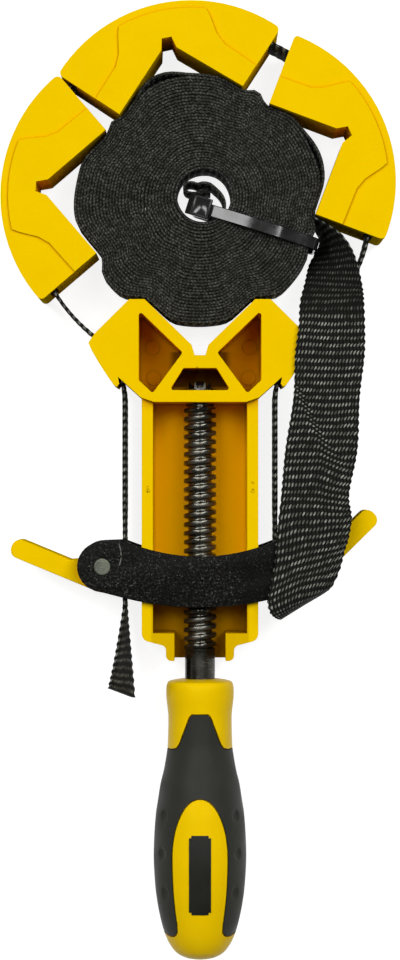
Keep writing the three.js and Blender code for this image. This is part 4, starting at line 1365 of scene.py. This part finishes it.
class CLAMP_OT_roll(bpy.types.Operator):
    """Roll of spare webbing and the cable tie that holds it"""

    bl_idname = "clamp.roll"
    bl_label = "Roll and tie"

    def execute(self, context):
        sizes = context.scene.clamp_webbing
        material = woven(sizes, "rolled webbing", sizes.stitch / MM, 0.34, matted=True)
        low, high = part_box("band_roll")
        hook, path = roll_path(sizes)
        stations = []
        for i, (centre, across, out, half_width, half_thickness) in enumerate(
            on_edge([*hook, *path], low.z, high.z, sizes.thickness * HOOK_SHARE)
        ):
            k = i - len(hook)
            turn = max(k, 0) * ROLL_STEP / 360
            lift = noise.noise(Vector((turn * TURN_PACE, TURN_ROW, 0))) * TURN_LIFT
            lift += noise.noise(centre * SPOT_PACE + Vector((0, 0, turn))) * SPOT_LIFT
            sunk = HOOK_SUNK * max(1 - i / len(hook), 0)
            centre.z += lift * MM - sunk
            half_thickness = touching(path, k) or half_thickness
            stations.append((centre, across, out, half_width - sunk, half_thickness))
        bm = bmesh.new()
        webbing(bm, stations, ROLL_COLUMNS)
        piece(bm, "roll", material, "frame", ["band_roll"], sharp=60.0)
        piece(tie_form(), "tie", tie_nylon(sizes), "frame", ["cable_tie"], sharp=45.0)
        return {"FINISHED"}


# Tie in its own plane, in millimetres from the ring's middle: place along it and height

TIE_TURN = math.radians(-17.7)
TIE_OFFSET = -2.4
TIE_WIDTH = 4.4
TIE_THICKNESS = 1.1
TIE_LOOP = [
    (-1.2, 22), (-1.2, 10), (-1.1, 5.2), (-0.2, 3.9), (2, 3.6), (22, 3.6), (42, 3.6), (44.0, 4.1),
    (44.8, 6), (44.8, 17), (44.8, 26.5), (44.5, 28.3), (43.6, 29.5), (42, 30.0), (39.5, 30.4),
    (37, 30.8), (34, 31.4), (31.5, 31.9), (29, 32.1), (24, 32.15), (19, 32.0), (16, 31.7), (13, 31.1),
    (9, 30.15), (4.6, 29.2), (2, 28.8), (-0.4, 28.2), (-1.2, 26),
]
TIE_HEAD = [(-3.9, 27.8), (-3.9, 30.2), (-1.7, 32.6), (4.3, 32.6), (4.6, 32.2), (4.6, 27.8)]
TIE_HEAD_WIDTH = 7.2
TIE_EDGE = 0.3
TIE_RIM, TIE_SINK = 1.1, 0.7


def tie_form():
    """Cable tie: a closed strap over the roll's side and through its hole, with its head on top."""
    bm = bmesh.new()
    loop = [Vector((x, 0, z)) for x, z in TIE_LOOP]
    around = curve([loop[-1], *loop, loop[0]], 6)[6:-7]
    along = [around[(i + 1) % len(around)] - around[i - 1] for i in range(len(around))]
    rings = []
    wide, narrow = TIE_WIDTH / 2, TIE_WIDTH / 2 - TIE_EDGE
    corners = [(-wide, 0), (-narrow, 1), (narrow, 1), (wide, 0), (narrow, -1), (-narrow, -1)]
    for middle, way in zip(around, along):
        out = Vector((way.z, 0, -way.x)).normalized() * TIE_THICKNESS / 2
        ring = [middle + out * o + Vector((0, y + TIE_OFFSET, 0)) for y, o in corners]
        rings.append([bm.verts.new(point) for point in ring])
    for ring, following in zip(rings, rings[1:] + rings[:1]):
        for k in range(len(ring)):
            n = (k + 1) % len(ring)
            bm.faces.new((ring[k], following[k], following[n], ring[n]))
    near = TIE_OFFSET - TIE_HEAD_WIDTH / 2
    side = bm.faces.new([bm.verts.new((x, near, z)) for x, z in TIE_HEAD])
    moved = drawn_out(bm, side, (0, TIE_HEAD_WIDTH, 0))
    head = {e for v in moved for e in v.link_edges} | set(side.edges)
    rounded(bm, [e for e in bm.edges if e in head], TIE_EDGE, 2)
    bm.normal_update()
    level = [f for f in bm.faces if f.normal.z > 0.9]
    top = max(level, key=lambda f: (f.calc_center_median().z, f.calc_area()))
    bmesh.ops.inset_region(bm, faces=[top], thickness=TIE_RIM, depth=-TIE_SINK)
    turn = Matrix.Rotation(TIE_TURN, 4, "Z")
    place = Matrix.Translation((RING.x, RING.y, 0)) @ turn @ Matrix.Scale(MM, 4)
    bmesh.ops.transform(bm, matrix=place, verts=bm.verts)
    return bm


# Stage

FILM_WIDTH = 36
NEAREST = 0.01
FLOOR_REACH = 3.0
FLOOR_LEVEL = -0.2 * MM
LAMP_SIZES = (0.6, 2.2)
LAMP_DISTANCE = 2.6


class CLAMP_OT_stage(bpy.types.Operator):
    """Floor, two soft lamps, the room's light and the camera"""

    bl_idname = "clamp.stage"
    bl_label = "Stage"

    def execute(self, context):
        sizes = context.scene.clamp_stage
        scene = context.scene
        bm = bmesh.new()
        bmesh.ops.create_grid(bm, x_segments=1, y_segments=1, size=FLOOR_REACH)
        floor = linked("floor", mesh_of(bm, "floor"))
        floor.location.z = FLOOR_LEVEL
        floor.data.materials.append(floor_material())
        for side in (-1, 1):
            lamp = bpy.data.lights.new("lamp", "AREA")
            lamp.shape = "RECTANGLE"
            lamp.size, lamp.size_y = LAMP_SIZES
            lamp.energy = sizes.key
            holder = linked("lamp", lamp)
            toward = Vector((side * math.tan(sizes.spread), math.tan(sizes.lean), 1)).normalized()
            holder.location = toward * LAMP_DISTANCE
            holder.rotation_euler = toward.to_track_quat("Z", "Y").to_euler()
        scene.world = room(sizes.sky)
        camera = bpy.data.cameras.new("camera")
        camera.lens = sizes.lens
        camera.sensor_width = FILM_WIDTH
        camera.clip_start = NEAREST
        scene.camera = linked("camera", camera)
        scene.camera.location = (0, 0, sizes.height)
        scene.view_settings.view_transform = "Standard"
        return {"FINISHED"}


def seen_directly(nodes):
    """1 for rays from the camera, in a mirror and through glass, else 0."""
    kinds = ("Is Camera Ray", "Is Glossy Ray", "Is Transmission Ray")
    camera, mirror, glass = [nodes.add("LightPath", output=kind) for kind in kinds]
    return nodes.larger(nodes.larger(camera, mirror), glass)


def room(sky):
    """A world that is dim as a light, and white where it is seen behind the floor."""
    world = bpy.data.worlds.new("room")
    world.use_nodes = True
    nodes = Nodes(world.node_tree)
    background = world.node_tree.nodes["Background"]
    height = nodes.parts(nodes.add("TexCoord", output="Generated"))[2]
    white = seen_directly(nodes) * nodes.smooth(height, 0.6, 0.2, kind="LINEAR")
    nodes.feed(background.inputs["Strength"], nodes.smooth(white, 0, 1, sky, 1.0, kind="LINEAR"))
    nodes.feed(background.inputs["Color"], (1, 1, 1, 1))
    return world


def floor_material():
    """Pale matt floor that is lifted to white where it is seen."""
    s = Shader("floor")
    ray = seen_directly(s)
    pale = s.blend(s.noise(8, 2), (0.3, 0.3, 0.3, 1), (0.33, 0.33, 0.33, 1))
    return s.set(
        Base_Color=s.blend(ray, pale, (0.35, 0.35, 0.35, 1)),
        Roughness=0.9,
        Specular_IOR_Level=0.0,
        Emission_Color=(1, 1, 1, 1),
        Emission_Strength=s.mix(ray, 0.0, 0.86),
    )


class CLAMP_PT_build(bpy.types.Panel):
    """Builds the clamp's pieces"""

    bl_label = "Band clamp"
    bl_idname = "CLAMP_PT_build"
    bl_space_type = "VIEW_3D"
    bl_region_type = "UI"
    bl_category = "Clamp"

    def draw(self, context):
        for operator in OPERATORS:
            self.layout.operator(operator.bl_idname)
        for group in GROUPS:
            sizes = getattr(context.scene, group)
            box = self.layout.box()
            box.label(text=GROUPS[group].__name__)
            for prop in GROUPS[group].__annotations__:
                box.prop(sizes, prop, text=prop.replace("_", " ").capitalize())


OPERATORS = [
    CLAMP_OT_body, CLAMP_OT_corners, CLAMP_OT_spindle, CLAMP_OT_handle, CLAMP_OT_yoke,
    CLAMP_OT_band, CLAMP_OT_free_strap, CLAMP_OT_roll, CLAMP_OT_stage,
]
GROUPS = {
    "clamp_moulding": MouldingSizes,
    "clamp_screw": ScrewSizes,
    "clamp_handle": HandleSizes,
    "clamp_webbing": WebbingSizes,
    "clamp_stage": StageSizes,
}


def register():
    for group in GROUPS.values():
        bpy.utils.register_class(group)
    for name, group in GROUPS.items():
        setattr(bpy.types.Scene, name, bpy.props.PointerProperty(type=group))
    for operator in OPERATORS:
        bpy.utils.register_class(operator)
    bpy.utils.register_class(CLAMP_PT_build)


def unregister():
    bpy.utils.unregister_class(CLAMP_PT_build)
    for operator in reversed(OPERATORS):
        bpy.utils.unregister_class(operator)
    for name, group in GROUPS.items():
        delattr(bpy.types.Scene, name)
        bpy.utils.unregister_class(group)


def main():
    register()
    for operator in OPERATORS:
        getattr(bpy.ops.clamp, operator.bl_idname.partition(".")[2])()
    bpy.context.view_layer.update()


if __name__ == "__main__":
    main()
